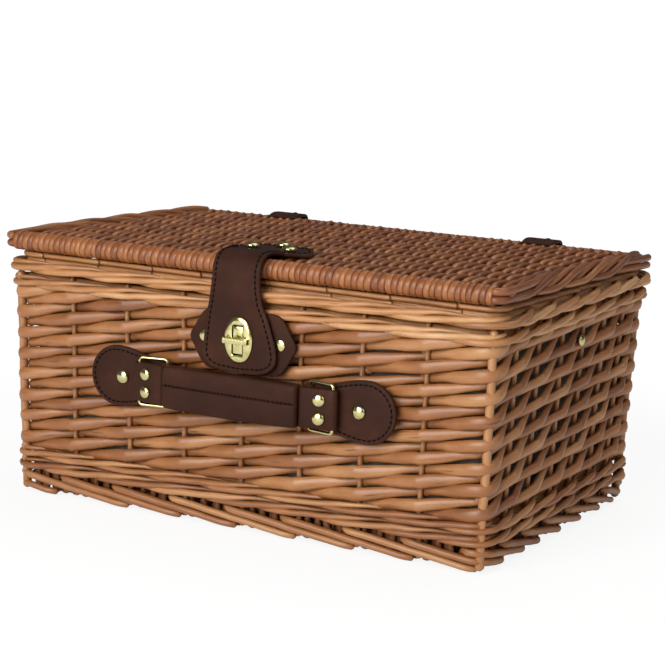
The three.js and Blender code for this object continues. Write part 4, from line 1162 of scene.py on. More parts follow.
@dataclass
class Lid:
    """Woven lid: wrapped front and back rails, weavers over cross sticks, and side borders.

    Each side border's arches start every arch_step from the back, in pairs pair_step apart, and run
    arch_run forwards.
    """

    plane: LidPlane
    rail_y: float = 0.131
    front_radius: float = 0.0074
    back_radius: float = 0.0053
    rail_end: float = 0.202
    weave_end: float = 0.196
    turns: int = 82
    wrap: float = 0.0015
    weavers: int = 100
    weaver: float = 0.0020
    stick: float = 0.0026
    stick_reach: float = 0.006
    sticks: int = 7
    swing: float = 0.0043
    half_length: float = 0.2122
    border: float = 0.0155
    border_radius: float = 0.0024
    arch_step: float = 0.048
    pair_step: float = 0.022
    arch_run: float = 0.140
    end_radius: float = 0.0029
    end_bend: float = 0.0072

    def weave(self, finishes: Finishes) -> bpy.types.Object:
        """Weavers front to back, over and under the cross sticks."""
        bundle = Bundle(sides=8)
        ys = np.linspace(-self.rail_y, self.rail_y, self.sticks + 2)[1:-1]
        pitch = ys[1] - ys[0]
        up = self.plane.turned(0, 0, 1)
        stick_end = self.weave_end + self.stick_reach
        for y in ys:
            x = np.linspace(-stick_end, stick_end, 40)
            bundle.add(self.plane.place(x, y + sway(40, 0.0008, 3), 0), up, self.stick, self.stick)
        step = 2 * self.weave_end / self.weavers
        for k in range(self.weavers):
            x = -self.weave_end + step * (k + 0.5)
            y = np.linspace(-self.rail_y + 0.004, self.rail_y - 0.004, 9 * (self.sticks + 1) + 1)
            wave = np.cos(math.pi * (y - ys[0] + rng.normal(0, 0.0012)) / pitch + math.pi * (k % 2))
            rise = self.swing * np.tanh(2.0 * wave) / math.tanh(2.0) + rng.normal(0, 0.0002)
            path = self.plane.place(x + sway(len(y), 0.00045, 3), y, rise)
            size = 1 + rng.normal(0, 0.06)
            bundle.add(path, up, self.weaver * size, step * (0.56 + 0.04 * wave) * size)
        return self._finish(bundle, "lid_weave_rods", "lid_weave", finishes)

    def rail(self, node: str, y: float, reach: float, finishes: Finishes) -> bpy.types.Object:
        """A rail stick with its tight wrapping of willow turns, no two of the same width."""
        bundle = Bundle(sides=12, boxy=0.62)
        core = self.plane.place(np.linspace(-self.rail_end, self.rail_end, 12), y, 0)
        stick = reach * 0.62
        bundle.add(core, self.plane.turned(0, 0, 1), stick, stick, (End.CUT, End.CUT))
        widths = rng.uniform(0.8, 1.2, self.turns)
        ends = np.concatenate([[0], np.cumsum(widths)]) * 2 * self.rail_end / widths.sum()
        ends = ends - self.rail_end
        angle = np.arange(20) * math.tau / 20
        outs = self.plane.place(0 * angle, np.cos(angle), np.sin(angle)) - self.plane.place(0, 0, 0)
        for start, end in zip(ends, ends[1:]):
            lean = (end - start) * rng.normal(0.16, 0.05)
            radius = (reach - self.wrap) * (1 + rng.normal(0, 0.014))
            path = self.plane.place((start + end) / 2 + lean * np.sin(angle),
                                    y + radius * np.cos(angle), radius * np.sin(angle))
            bundle.add(path, outs, self.wrap, (end - start) * 0.50, closed=True)
        return self._finish(bundle, node + "_wrapped", node, finishes)

    def arches(self, bundle: Bundle, side: int) -> None:
        """Rods that arch out of the weave's edge, cross to the outer edge and run low along it."""
        front, back = -self.rail_y - self.front_radius, self.rail_y + self.back_radius
        outer, radius = self.half_length, self.border_radius
        t = np.linspace(0, 1, 40)
        ease, low = smooth_step(t / 0.66), smooth_step((t - 0.56) / 0.22)
        arch = np.sin(math.pi * np.clip(t / 0.62, 0, 1)) ** 1.2
        thick = radius * np.interp(t, [0, 0.9, 1], [1.0, 1.0, 0.7])
        for start in np.arange(back + 0.020, front + 0.075, -self.arch_step):
            for pair in (0, 1):
                y = start - self.pair_step * pair - self.arch_run * t
                keep = (y > front + 0.010) & (y < back - radius)
                if keep.sum() < 4:
                    continue
                wide = self.border - radius - 0.0010 - 0.0026 * pair
                x = outer - self.border + 0.0006 + wide * ease
                z = 0.0010 + (0.0048 - 0.0010 * pair) * arch + 0.0012 * ease - 0.0052 * low
                path = self.plane.place(side * x, y, z + sway(len(t), 0.0002))
                bundle.add(path[keep], (side, 0, 0), thick[keep], thick[keep] * 1.04)

    def ends(self, bundle: Bundle, side: int) -> None:
        """Two rods, one over the other, that bend round the front corner, and two at the back."""
        front, back = -self.rail_y - self.front_radius, self.rail_y + self.back_radius
        radius, bend = self.end_radius, self.end_bend
        outer = self.half_length - radius
        corner = np.radians(np.linspace(0, 90, 9))[1:]
        edge = outer - np.array([0.0085, 0.0058, 0.0042, 0.0026, 0.0012, 0.0004, 0])
        for level, inset in ((0.0034, 0.0), (-0.0024, 0.0004)):
            x = np.concatenate([edge, outer - bend + bend * np.cos(corner),
                                [self.rail_end + 0.0008]])
            y = np.concatenate([np.linspace(-0.040, -0.112, 7),
                                front + radius + bend - bend * np.sin(corner), [front + radius]])
            rise = np.concatenate([np.linspace(0.9, 0.15, 7), np.zeros(9)]) * 0.0024
            path = self.plane.place(side * (x - inset), y, level + rise)
            bundle.add(path, (0, 0, 1), radius, radius * 1.02)
            y = np.linspace(back - 0.0035, back - 0.060, 10)
            x = outer - 0.0010 - inset - 0.0036 * np.linspace(0, 1, 10) ** 2
            path = self.plane.place(side * x, y, level - 0.0006)
            bundle.add(path, (side, 0, 0), radius * 0.94, radius * 0.94)

    @staticmethod
    def _finish(bundle: Bundle, name: str, node: str, finishes: Finishes) -> bpy.types.Object:
        """Makes a piece that rides on the lid in place of its node."""
        piece = bundle.make(name, finishes.lid_willow, finishes.cut)
        return seat(piece, "lid", "lid_willow", node)

    def build(self, finishes: Finishes) -> list[bpy.types.Object]:
        """Builds the lid's willow."""
        made = [
            self.weave(finishes),
            self.rail("lid_front_rail", -self.rail_y, self.front_radius, finishes),
            self.rail("lid_back_rail", self.rail_y, self.back_radius, finishes),
        ]
        for word, side in SIDES:
            bundle = Bundle(sides=12)
            self.arches(bundle, side)
            self.ends(bundle, side)
            node = f"lid_{word}_border"
            made.append(self._finish(bundle, node + "_rods", node, finishes))
        return made


# ---------------------------------------------------------------- the lining


@dataclass
class Lining:
    """Canvas tub inside the willow, hung from the top wale."""

    thickness: float = 0.0009
    pucker: float = 0.0006
    clearance: Point = (0.0006, 0.0006, 0.0004)
    draft_x: float = 0.0012
    draft_y: float = 0.0060

    def build(self, finishes: Finishes) -> list[bpy.types.Object]:
        """Builds the tub in the room of its CAD node."""
        lo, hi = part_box("lining")
        size, middle = hi - lo, (lo + hi) / 2
        deselect()
        bpy.ops.mesh.primitive_cube_add(size=1, location=middle)
        tub = bpy.context.object
        tub.name = tub.data.name = "lining_tub"
        tub.scale = [length - gap for length, gap in zip(size, self.clearance)]
        settle(tub)
        with editing(tub):
            bpy.ops.mesh.select_all(action="DESELECT")
            for face in bmesh.from_edit_mesh(tub.data).faces:
                face.select_set(face.normal.z > 0.9)
            bmesh.update_edit_mesh(tub.data)
            bpy.ops.mesh.delete(type="ONLY_FACE")
            edit = bmesh.from_edit_mesh(tub.data)
            for vert in edit.verts:
                if vert.co.z < middle.z:
                    vert.co.x -= math.copysign(self.draft_x, vert.co.x - middle.x)
                    vert.co.y -= math.copysign(self.draft_y, vert.co.y - middle.y)
            for edge in edit.edges:
                edge.select_set(len(edge.link_faces) == 2)
            bmesh.update_edit_mesh(tub.data)
            bpy.ops.mesh.bevel(offset=0.006, segments=3, affect="EDGES")
            bpy.ops.mesh.select_all(action="SELECT")
            bpy.ops.mesh.subdivide(number_cuts=20)
        points = np.empty(len(tub.data.vertices) * 3)
        tub.data.vertices.foreach_get("co", points)
        points = points.reshape(-1, 3)
        x, y, z = points.T
        wave = np.sin(x * 190 + y * 150) * np.sin(z * 95 + x * 40)
        drawn = np.clip((z - lo.z) / size.z, 0, 1)
        inward = np.array([middle.x, middle.y, middle.z + 0.03]) - points
        inward /= np.linalg.norm(inward, axis=1)[:, None]
        points += inward * (self.pucker * (1 + wave) * (0.3 + 0.7 * drawn))[:, None]
        tub.data.vertices.foreach_set("co", points.ravel())
        apply_modifier(tub, "SOLIDIFY", thickness=self.thickness, offset=-1)
        dress(smooth(tub, 60), finishes.canvas)
        seat(tub, "basket", "lining", "lining")
        return [tub]


# ---------------------------------------------------------------- straps and fittings


@dataclass
class Strap:
    """A leather strap along a line in the Y-Z plane; its width may change along it."""

    line: Sequence[tuple[float, float]]
    thickness: float
    edges: Callable[[np.ndarray], tuple[np.ndarray, np.ndarray]]
    rows: int = 90
    columns: int = 14

    def path(self) -> tuple[np.ndarray, np.ndarray, np.ndarray]:
        """Even stations along the strap: distance, (y, z) and the way its inner face looks."""
        points = np.array(self.line)
        run = distances(points)
        at = np.linspace(0, run[-1], self.rows)
        spots = np.stack([np.interp(at, run, axis) for axis in points.T], 1)
        for _ in range(3):
            spots[1:-1] = 0.25 * spots[:-2] + 0.5 * spots[1:-1] + 0.25 * spots[2:]
        along = np.gradient(spots, axis=0)
        along /= np.linalg.norm(along, axis=1)[:, None]
        return at, spots, np.stack([-along[:, 1], along[:, 0]], 1)

    def surface(self, at: np.ndarray, x: np.ndarray, lift: float) -> np.ndarray:
        """Points on the strap: distance along it, place in x and height inwards of its middle."""
        stations, spots, faces = self.path()
        y, z = (np.interp(at, stations, spots[:, k]) + np.interp(at, stations, faces[:, k]) * lift
                for k in (0, 1))
        return np.stack([x, y, z], 1)

    def build(self, name: str) -> bpy.types.Object:
        """Builds the strap as a closed skin with rounded edges."""
        at, spots, faces = self.path()
        left, right = self.edges(at)
        edge = np.array([-1, -0.965, -0.9, *np.linspace(-0.8, 0.8, self.columns), 0.9, 0.965, 1])
        round_off = np.sqrt(np.clip(1 - ((np.abs(edge) - 0.955) / 0.05).clip(0) ** 2, 0.1, 1))
        x = (right + left)[:, None] / 2 + (right - left)[:, None] / 2 * edge
        grid = []
        for side in (1, -1):
            lift = side * self.thickness / 2 * round_off
            y, z = (spots[:, k:k + 1] + faces[:, k:k + 1] * lift for k in (0, 1))
            grid.append(np.stack([x, y, z], -1).reshape(-1, 3))
        row, size = len(edge), len(edge) * self.rows
        quads = []
        for a in (k for k in range(size - row) if k % row < row - 1):
            b = a + size
            quads += [(a, a + row, a + row + 1, a + 1), (b, b + 1, b + row + 1, b + row)]
        for a in range(0, size - row, row):
            b = a + row - 1
            quads += [(a, size + a, size + a + row, a + row),
                      (b, b + row, size + b + row, size + b)]
        for a in range(row - 1):
            b = size - row + a
            quads += [(a, a + 1, size + a + 1, size + a), (b, size + b, size + b + 1, b + 1)]
        made = mesh_of(name, np.concatenate(grid), quads)
        face_outwards(made)
        return smooth(made, 50)


class Facing(Enum):
    """Where a wall rivet's head looks."""

    FRONT = (0, -1, 0)
    BACK = (0, 1, 0)
    LEFT = (-1, 0, 0)
    RIGHT = (1, 0, 0)


@dataclass
class Rivets:
    """Domed brass rivets; a dome stands on a straight skirt, its height a share of the radius."""

    lid: LidPlane
    handle: Handle
    segments: int = 28
    rings: int = 10
    skirt: float = 0.25

    def facings(self) -> list[tuple[str, Sequence[float]]]:
        """Each rivet's CAD node, and the direction in which its dome looks."""
        up, back = self.lid.turned(0, 0, 1), self.lid.turned(0, 1, 0)
        across, ahead = math.sin(self.handle.lean), -math.cos(self.handle.lean)
        front = Facing.FRONT.value
        pairs = (("lock_patch_rivet_", front), ("handle_tab_rivet_", front))
        behind = (("hinge_lid_rivet_", back), ("hinge_body_rivet_", Facing.BACK.value))
        return [
            *(("hasp_head_rivet_" + word, up) for word in ("left", "right", "back")),
            *((node + word, way) for node, way in pairs for word, _ in SIDES),
            *((f"handle_end_rivet_{word}_{level}", (side * across, ahead, 0))
              for word, side in SIDES for level in ("upper", "lower")),
            *((node + word, way) for node, way in behind for word, _ in SIDES),
            ("stay_stud_left", Facing.LEFT.value), ("stay_stud_right", Facing.RIGHT.value),
            *(("stay_lid_rivet_" + word, -up) for word, _ in SIDES),
        ]

    def build(self, finishes: Finishes) -> list[bpy.types.Object]:
        """Builds all the heads."""
        return [self.head(node, facing, finishes) for node, facing in self.facings()]

    def head(self, node: str, facing: Sequence[float], finishes: Finishes) -> bpy.types.Object:
        """Builds a head in the room of its CAD node.

        Args:
            node: CAD rivet that it replaces.
            facing: Direction in which its dome looks.
            finishes: Materials.

        Returns:
            The head, riding on the node's body.
        """
        points = np.array([v.co for v in frame["nodes"][node].data.vertices])
        face = np.array(facing, float)
        face /= np.linalg.norm(face)
        depth = points @ face
        low, high = depth.min(), depth.max()
        middle = (points.max(0) + points.min(0)) / 2
        base = middle + face * (low - middle @ face)
        spread = points - np.outer(depth - low, face) - base
        radius = np.linalg.norm(spread, axis=1).max()
        polar = np.radians(np.linspace(90, 0, self.rings + 1))[:-1]
        turn = np.arange(self.segments) * math.tau / self.segments
        reach = radius * np.append(1, np.sin(polar))
        rise = (high - low) / (1 + self.skirt) * np.append(0, self.skirt + np.cos(polar))
        rings = [np.stack([wide * np.cos(turn), wide * np.sin(turn), 0 * turn + z], 1)
                 for wide, z in zip(reach, rise)]
        count, top = self.segments, self.segments * len(rings)
        faces = [tuple(reversed(range(count)))]
        for row in range(0, top, count):
            for k in range(count):
                a, b = row + k, row + (k + 1) % count
                faces.append((a, b, b + count, a + count) if row + count < top else (a, b, top))
        made = mesh_of(node + "_head", np.concatenate([*rings, [[0, 0, high - low]]]), faces)
        facing_turn = Vector(face).to_track_quat("Z", "Y").to_matrix().to_4x4()
        made.matrix_world = Matrix.Translation(Vector(base)) @ facing_turn
        settle(made)
        dress(smooth(made, 50), finishes.brass)
        return seat(made, frame["nodes"][node]["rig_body"], "brass", node)


@dataclass
class Hasp:
    """The strap that closes the lid: head on the lid, round lobe over the lock."""

    middle: float
    lobe_middle: float
    bend: float = 0.206841
    thickness: float = 0.0028
    neck: float = 0.0200
    tip: float = 0.0360
    back: float = 0.0210
    lobe: float = 0.03075
    lobe_rise: float = 0.0155
    boxy: float = 3.0
    seam: float = 0.0035
    slot: Point = (0.0109, 0.02, 0.0234)

    def line(self) -> list[tuple[float, float]]:
        """The strap's middle in y and z, from the head's back edge over the rail and down."""
        head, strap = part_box("hasp_head")[1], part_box("hasp_strap")
        y, top = (strap[0].y + strap[1].y) / 2, head.z
        over = ((head.y, 0.0053), (-0.084, 0.0051), (-0.098, 0.0047), (-0.107, 0.0038),
                (-0.116, 0.0021), (-0.124, 0.0013), (-0.1295, 0.0016), (-0.1338, 0.0032),
                (-0.1370, 0.0062), (-0.1390, 0.0100), (y, 0.0145))
        down = [(y, 0.190), (y, 0.150), (y, strap[0].z)]
        return [*((place, top - drop) for place, drop in over), *down]

    def edges(self, at: np.ndarray, total: float,
              inside: float = 0.0) -> tuple[np.ndarray, np.ndarray]:
        """Left and right edges of the strap, or of a line inside them.

        Args:
            at: Distances from the head's back edge.
            total: The strap's whole length.
            inside: How far inside the edges.

        Returns:
            The two edges' x at each distance.
        """
        rise = total - at
        head = np.interp(at, [0, 0.0265, 0.0275, 0.034, 0.043, 0.053],
                         [self.back, self.tip, self.tip, self.tip * 0.80, 0.0216, self.neck])
        right = np.interp(rise, [self.lobe_rise, 0.0215, 0.0295, 0.0405, 0.0505, 0.0600, 0.0680],
                          [0.03925, 0.0382, 0.0358, 0.0318, 0.0270, 0.0250,
                           self.middle + self.neck])
        left = np.interp(rise, [self.lobe_rise, 0.0295, 0.0405, 0.0505, 0.0680],
                         [-0.02225, -0.0210, -0.0196, -0.0178, self.middle - self.neck])
        drop = np.clip((self.lobe_rise - rise) / (self.lobe_rise - inside), 0, 1)
        lobe = (self.lobe - inside) * np.clip(1 - drop ** self.boxy, 0.0002, 1) ** (1 / self.boxy)
        round_end = rise < self.lobe_rise
        right = np.where(round_end, self.lobe_middle + lobe, right - inside)
        left = np.where(round_end, self.lobe_middle - lobe, left + inside)
        on_head = at < total / 2
        return (np.where(on_head, self.middle - head + inside, left),
                np.where(on_head, self.middle + head - inside, right))

    def leather(self, strap: Strap, finishes: Finishes) -> bpy.types.Object:
        """The strap itself, with the slot that the lock goes through."""
        made = strap.build("hasp_leather")
        lo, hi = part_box("hasp_plate")
        deselect()
        bpy.ops.mesh.primitive_cube_add(size=1, location=(lo + hi) / 2)
        cutter = bpy.context.object
        cutter.scale = self.slot
        settle(cutter)
        apply_modifier(made, "BOOLEAN", operation="DIFFERENCE", object=cutter, solver="EXACT")
        bpy.data.objects.remove(cutter)
        dress(smooth(made, 50), finishes.leather)
        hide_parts("hasp_strap", "hasp_head")
        return made

    def stitches(self, strap: Strap, total: float, finishes: Finishes) -> bpy.types.Object:
        """One row of stitches inside the whole edge."""
        at = np.linspace(self.seam, total - self.seam, 160)
        left, right = self.edges(at, total, self.seam)
        way = np.concatenate([at, at[::-1]])
        across = np.concatenate([right, left[::-1]])
        outside = -self.thickness / 2
        path = strap.surface(way, across, outside)
        faces = strap.surface(way, across, outside - 1) - path
        threads = Bundle(sides=6)
        Stitching().sew(threads, path, faces)
        sewn = threads.make("hasp_stitches", finishes.thread)
        return sewn

    def build(self, finishes: Finishes) -> list[bpy.types.Object]:
        """Builds the strap and its stitching; its line runs over the lid's front edge and down."""
        line = self.line()
        total = float(distances(np.array(line))[-1])
        strap = Strap(line, self.thickness, lambda at: self.edges(at, total), rows=180, columns=16)
        made = [self.leather(strap, finishes), self.stitches(strap, total, finishes)]
        y = line[-1][0]
        for piece in made:
            y + 0.006
            y - 0.001
            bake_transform(piece)
        return made


@dataclass
class Lock:
    """Turn lock: leather patch with pointed ends, brass base, plate and ribbed button."""

    middle: float
    height: float = 0.1449
    half_width: float = 0.044
    half_height: float = 0.0228
    flat: float = 0.024
    shoulder: float = 0.035
    elbow: float = 0.037
    tip: float = 0.003
    thickness: float = 0.0025
    slot_x: float = 0.00475
    slot_z: float = 0.011
    ribs: int = 7
    rib_step: float = 0.00245

    def patch_rim(self) -> list[tuple[float, float]]:
        """Outline of the patch, counterclockwise."""
        x, z, t = self.half_width, self.half_height, self.tip
        bow = [*bezier((self.flat, -z), (self.shoulder, -z), (self.elbow, -(z + t) / 2), (x, -t)),
               *bezier((x, -t), (x + 0.0009, 0), (x, t), steps=6)]
        top = [(a, -b) for a, b in reversed(bow[1:12])]
        right = [*bow, (x, t), *top, (self.flat, z)]
        whole = [*right, *((-a, -b) for a, b in right)]
        return [(self.middle + a, self.height + b) for a, b in whole]

    def shield(self, finishes: Finishes) -> bpy.types.Object:
        """The oval plate in the strap: a wide bevelled rim round a slot."""
        lo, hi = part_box("hasp_plate")
        centre = (lo + hi) / 2
        back = (hi.y - lo.y) / 2
        angle = np.linspace(0, math.tau, 96, endpoint=False)
        c, s = np.cos(angle), np.sin(angle)
        oval = np.stack([c * (hi.x - lo.x) / 2, s * (hi.z - lo.z) / 2], 1)
        square = 1 / (np.abs(c / self.slot_x) ** 12 + np.abs(s / self.slot_z) ** 12) ** (1 / 12)
        outward = np.stack([c, s], 1)
        slot = outward * square[:, None]
        rings = [(oval - outward * 0.0003, -back), (oval, -back + 0.0003), (oval, -back + 0.0007),
                 (oval - outward * 0.0007, back - 0.0006), (oval - outward * 0.0016, back - 0.0002),
                 (oval - outward * 0.0024, back), (slot * 1.12, back), (slot * 1.03, back - 0.0001),
                 (slot, back - 0.0004), (slot, -back)]
        turn = Matrix.Translation(centre) @ Matrix.Rotation(math.pi / 2, 4, "X")
        made = dress(ringed("hasp_plate_brass", rings, turn), finishes.brass)
        return seat(made, "hasp", "brass", "hasp_plate")

    def ribbing(self, finishes: Finishes) -> bpy.types.Object:
        """Round ribs along the finger grip of the button."""
        lo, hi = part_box("turn_button")
        angle = np.linspace(0, math.tau, 24, endpoint=False)
        c, s = np.cos(angle), np.sin(angle)
        bundle = Bundle(sides=8)
        for k in range(self.ribs):
            x = lo.x + 0.0012 + self.rib_step * k
            y, z = lo.y + 0.0017 + 0.0010 * c, (lo.z + hi.z) / 2 + 0.0020 * s
            outs = np.stack([0 * c, c, s], 1)
            bundle.add(np.stack([x + 0 * c, y, z], 1), outs, 0.0009, 0.00118, closed=True)
        return seat(bundle.make("turn_button_ribs", finishes.brass), "turn_button", "brass")

    def build(self, finishes: Finishes) -> list[bpy.types.Object]:
        """Builds the patch, the plate, the base and the button."""
        lo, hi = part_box("lock_patch")
        patch = plate("lock_patch_leather", [self.patch_rim()], self.thickness, 0.0006,
                      upright((lo.y + hi.y) / 2))
        dress(patch, finishes.leather)
        seat(patch, "basket", "leather", "lock_patch")
        pieces = [patch, self.shield(finishes), self.ribbing(finishes)]
        for node, body in (("lock_base", "basket"), ("turn_button", "turn_button")):
            piece = dress(traced_copy(node + "_brass", node, 0.0003), finishes.brass)
            pieces.append(seat(piece, body, "brass", node))
        return pieces


@dataclass
class Handle:
    """Carrying handle: two tabs on the wall, two brass rings, two end loops and the padded grip."""

    middle: float
    height: float = 0.106
    fold_x: float = 0.0605
    fold_radius: float = 0.004
    bore: float = 0.0016
    lean: float = math.radians(11)
    tab_thickness: float = 0.003
    tab_neck: float = 0.0152
    tab_half: float = 0.023
    tab_middle: float = 0.106
    tab_end: float = 0.1294
    seam: float = 0.0031
    seam_start: float = 0.0672
    ring_reach: float = 0.022
    ring_height: float = 0.038
    ring_corner: float = 0.0026
    wire: float = 0.00125
    loop_radius: float = 0.0036
    loop_tail: float = 0.0032

    def tab_rim(self, side: int, margin: float = 0.0) -> list[tuple[float, float]]:
        """Outline of a tab on the wall, or of a line inside it, from its fold.

        Args:
            side: -1 for the left-hand tab, 1 for the right-hand one.
            margin: How far inside the edge.

        Returns:
            Points in x and z.
        """
        neck, half = self.tab_neck - margin, self.tab_half - margin
        start, middle, end = self.fold_x + margin * 0.4, self.tab_middle, self.tab_end - margin
        flare = (self.tab_middle - self.fold_x) / 3
        edge = [(start, neck), (start + flare, neck), (middle - flare, half), (middle, half)]
        low = bezier(*((x, -z) for x, z in edge), steps=16)
        nose = arc(middle, 0, end - middle, half, -90, 90, 30)
        rim = [*low, *nose, *bezier(*edge[::-1], steps=16), (start, neck)][::side]
        return [(self.middle + side * x, self.height + z) for x, z in rim]

    def tab(self, word: str, side: int, finishes: Finishes) -> list[bpy.types.Object]:
        """A tab: a stitched leather sheet folded round the ring's inner bar."""
        node = "handle_tab_" + word
        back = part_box(node)[1].y
        sheet = plate(node + "_sheet", [self.tab_rim(side)], self.tab_thickness, 0.0007,
                      upright(back - self.tab_thickness / 2))
        fold_x = self.middle + side * self.fold_x
        ring, bore = (arc(fold_x, 0, radius, radius, 0, 360, steps)
                      for radius, steps in ((self.fold_radius, 28), (self.bore, 20)))
        fold = plate(node + "_fold", [ring, bore], 2 * self.tab_neck, 0.0006,
                     Matrix.Translation((0, back - self.fold_radius, self.height)))
        leather = dress(joined(node + "_leather", [sheet, fold]), finishes.leather)
        seat(leather, "basket", "leather", node)
        seam = np.array(self.tab_rim(side, self.seam))
        seam = seam[np.abs(seam[:, 0] - self.middle) > self.seam_start]
        path = np.stack([seam[:, 0], np.full(len(seam), back - self.tab_thickness), seam[:, 1]], 1)
        threads = Bundle(sides=6)
        Stitching().sew(threads, path, (0, -1, 0), closed=False)
        sewn = threads.make(node + "_stitches", finishes.thread)
        return [leather, seat(sewn, "basket", "leather")]

    def bar(self, reach: float) -> tuple[np.ndarray, np.ndarray]:
        """X and y at a reach from the rings' inner bars, on the right-hand side."""
        pivot = (self.fold_x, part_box("handle_tab_right")[1].y - self.fold_radius)
        return pivot[0] + reach * math.cos(self.lean), pivot[1] - reach * math.sin(self.lean)

    def ring(self, word: str, side: int, finishes: Finishes) -> bpy.types.Object:
        """A rectangular ring of round brass wire."""
        reach, high, wire, corner = self.ring_reach, self.ring_height, self.wire, self.ring_corner
        spine = []
        for sx, sz, start in ((1, 1, 0), (-1, 1, 90), (-1, -1, 180), (1, -1, 270)):
            for k in range(7):
                a = math.radians(start + 15 * k)
                spine.append((sx * (reach / 2 - corner) + corner * math.cos(a) + reach / 2,
                              sz * (high / 2 - wire - corner) + corner * math.sin(a)))
        flat = np.array(spine)
        x, y = self.bar(flat[:, 0])
        path = np.stack([self.middle + side * x, y, self.height + flat[:, 1]], 1)
        face = (side * math.sin(self.lean), -math.cos(self.lean), 0)
        bundle = Bundle(sides=14)
        bundle.add(path[::side], face, wire, wire, closed=True)
        node = "ring_" + word
        return seat(bundle.make(node + "_wire", finishes.brass), node, "brass", node)

    def end_loop(self, word: str, side: int, finishes: Finishes) -> bpy.types.Object:
        """An end loop: leather folded round the ring's outer bar."""
        node = "handle_end_" + word
        x, y = self.bar(self.ring_reach)
        head, tail = self.loop_radius, self.loop_tail
        rim = [*arc(0, 0, head, head, -90, 90, 16), *arc(-0.022, 0, tail, tail, 90, 270, 16)]
        if side < 0:
            rim = [(-across, high) for across, high in rim]
        bore = arc(0, 0, self.bore, self.bore, 0, 360, 20)
        turn = (Matrix.Translation((self.middle + side * x, y, self.height))
                @ Matrix.Rotation(side * self.lean, 4, "Z"))
        leather = plate(node + "_leather", [rim, bore], 0.0290, 0.0008, turn)
        return seat(dress(leather, finishes.leather), node, "leather", node)

    def grip(self, finishes: Finishes) -> list[bpy.types.Object]:
        """The padded grip: two swollen halves with a sewn crease between them along the front."""
        lo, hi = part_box("handle_grip")
        centre, size = (lo + hi) / 2, hi - lo
        half_x, half_y, half_z = size.x / 2, size.y / 2, size.z / 2
        end = np.array([0.965, 0.985, 0.996, 1])
        stations = np.concatenate([-end[::-1], np.linspace(-0.94, 0.94, 40), end])
        fine = np.array([0.002, 0.004, 0.007, 0.010, 0.014, 0.019, 0.026, 0.036, 0.050])
        round_it = np.linspace(0, math.tau, 96, endpoint=False)
        angle = np.sort(np.concatenate([round_it, math.pi + fine, math.pi - fine]))
        c, n = np.cos(angle), np.sin(angle)
        rings = []
        for s in stations:
            pull = 1 - 0.07 * abs(s) ** 6 - 0.35 * np.clip((abs(s) - 0.965) / 0.035, 0, 1) ** 2
            y = np.sign(c) * np.abs(c) ** 0.36 * half_y * pull
            z = np.sign(n) * np.abs(n) ** 0.60 * half_z * (0.6 + 0.4 * pull)
            crease = np.exp(-(((z - 0.0010) / 0.0006) ** 2)) * 0.0004
            crease = crease + 0.0006 * np.exp(-np.clip(z - 0.0010, 0, 1) / 0.0035) * (z > 0.0010)
            y = y + crease * (y < 0)
            z = z * np.where(z < 0, 1 + 0.06 * (1 - s * s), 1)
            x = np.full_like(y, centre.x + s * half_x)
            rings.append(np.stack([x, centre.y + y, centre.z + z], 1))
        sides, rows = len(angle), len(stations)
        faces = []
        for row in range(0, (rows - 1) * sides, sides):
            for k in range(sides):
                a, b = row + k, row + (k + 1) % sides
                faces.append((a, a + sides, b + sides, b))
        faces += [tuple(range(sides)), tuple(reversed(range((rows - 1) * sides, rows * sides)))]
        grip = mesh_of("grip_leather", np.concatenate(rings), faces)
        with editing(grip):
            bpy.ops.mesh.normals_make_consistent(inside=False)
        dress(smooth(grip, 60), finishes.leather)
        seat(grip, "handle_grip", "leather", "handle_grip")
        x = np.linspace(lo.x + 0.0025, hi.x - 0.0025, 60)
        path = np.stack([x, np.full(60, lo.y + 0.0008), np.full(60, centre.z + 0.0021)], 1)
        threads = Bundle(sides=6)
        Stitching(length=0.0021, pitch=0.0035).sew(threads, path, (0, -1, 0), closed=False)
        sewn = threads.make("grip_stitches", finishes.thread)
        return [grip, seat(sewn, "handle_grip", "leather")]

    def build(self, finishes: Finishes) -> list[bpy.types.Object]:
        """Builds the whole handle."""
        made = []
        for word, side in SIDES:
            made += self.tab(word, side, finishes)
            made += [self.ring(word, side, finishes), self.end_loop(word, side, finishes)]
        return made + self.grip(finishes)


@dataclass
class HingeStraps:
    """Two leather straps over the lid's back rail and down the back of the body."""

    thickness: float = 0.0025
    inset: float = 0.0015
    sink: float = 0.0036

    def build(self, finishes: Finishes) -> list[bpy.types.Object]:
        """Builds both straps, each over the lid's back rail and down the body's back."""
        made = []
        for word, _ in SIDES:
            lid_lo, lid_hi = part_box("hinge_lid_leaf_" + word)
            lo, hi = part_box("hinge_body_leaf_" + word)
            half = self.thickness / 2
            back, top = lid_hi.y - half, lid_hi.z - half - self.sink
            over = ((lid_lo.y, 0.0024), (0.1310, 0.0008), (0.1360, 0), (0.1440, 0.0004),
                    (0.1466, 0.0014), (0.1480, 0.0028), (back, 0.0050))
            line = [*((y, top - drop) for y, drop in over), (back, 0.190), (back, 0.186),
                    (back, 0.1738), (back - 0.0003, 0.1695), (hi.y - half, lo.z)]
            sides = np.array([lo.x + self.inset, hi.x - self.inset])
            strap = Strap(line, self.thickness, rows=80, columns=8,
                          edges=lambda at, sides=sides: np.outer(sides, np.ones_like(at)))
            piece = dress(strap.build("hinge_strap_" + word), finishes.leather)
            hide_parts("hinge_lid_leaf_" + word, "hinge_body_leaf_" + word)
            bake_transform(piece)
            made.append(piece)
        return made


@dataclass
class Stays:
    """Leather stays inside the ends, slack while the lid is closed."""

    edge: float = 0.0004

    def build(self, finishes: Finishes) -> list[bpy.types.Object]:
        """Builds both stays in the room of their CAD nodes."""
        made = []
        for word, _ in SIDES:
            piece = traced_copy("stay_strap_" + word, "stay_" + word, self.edge)
            dress(piece, finishes.leather)
            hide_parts("stay_" + word)
            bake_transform(piece)
            made.append(piece)
        return made


# ---------------------------------------------------------------- camera and light


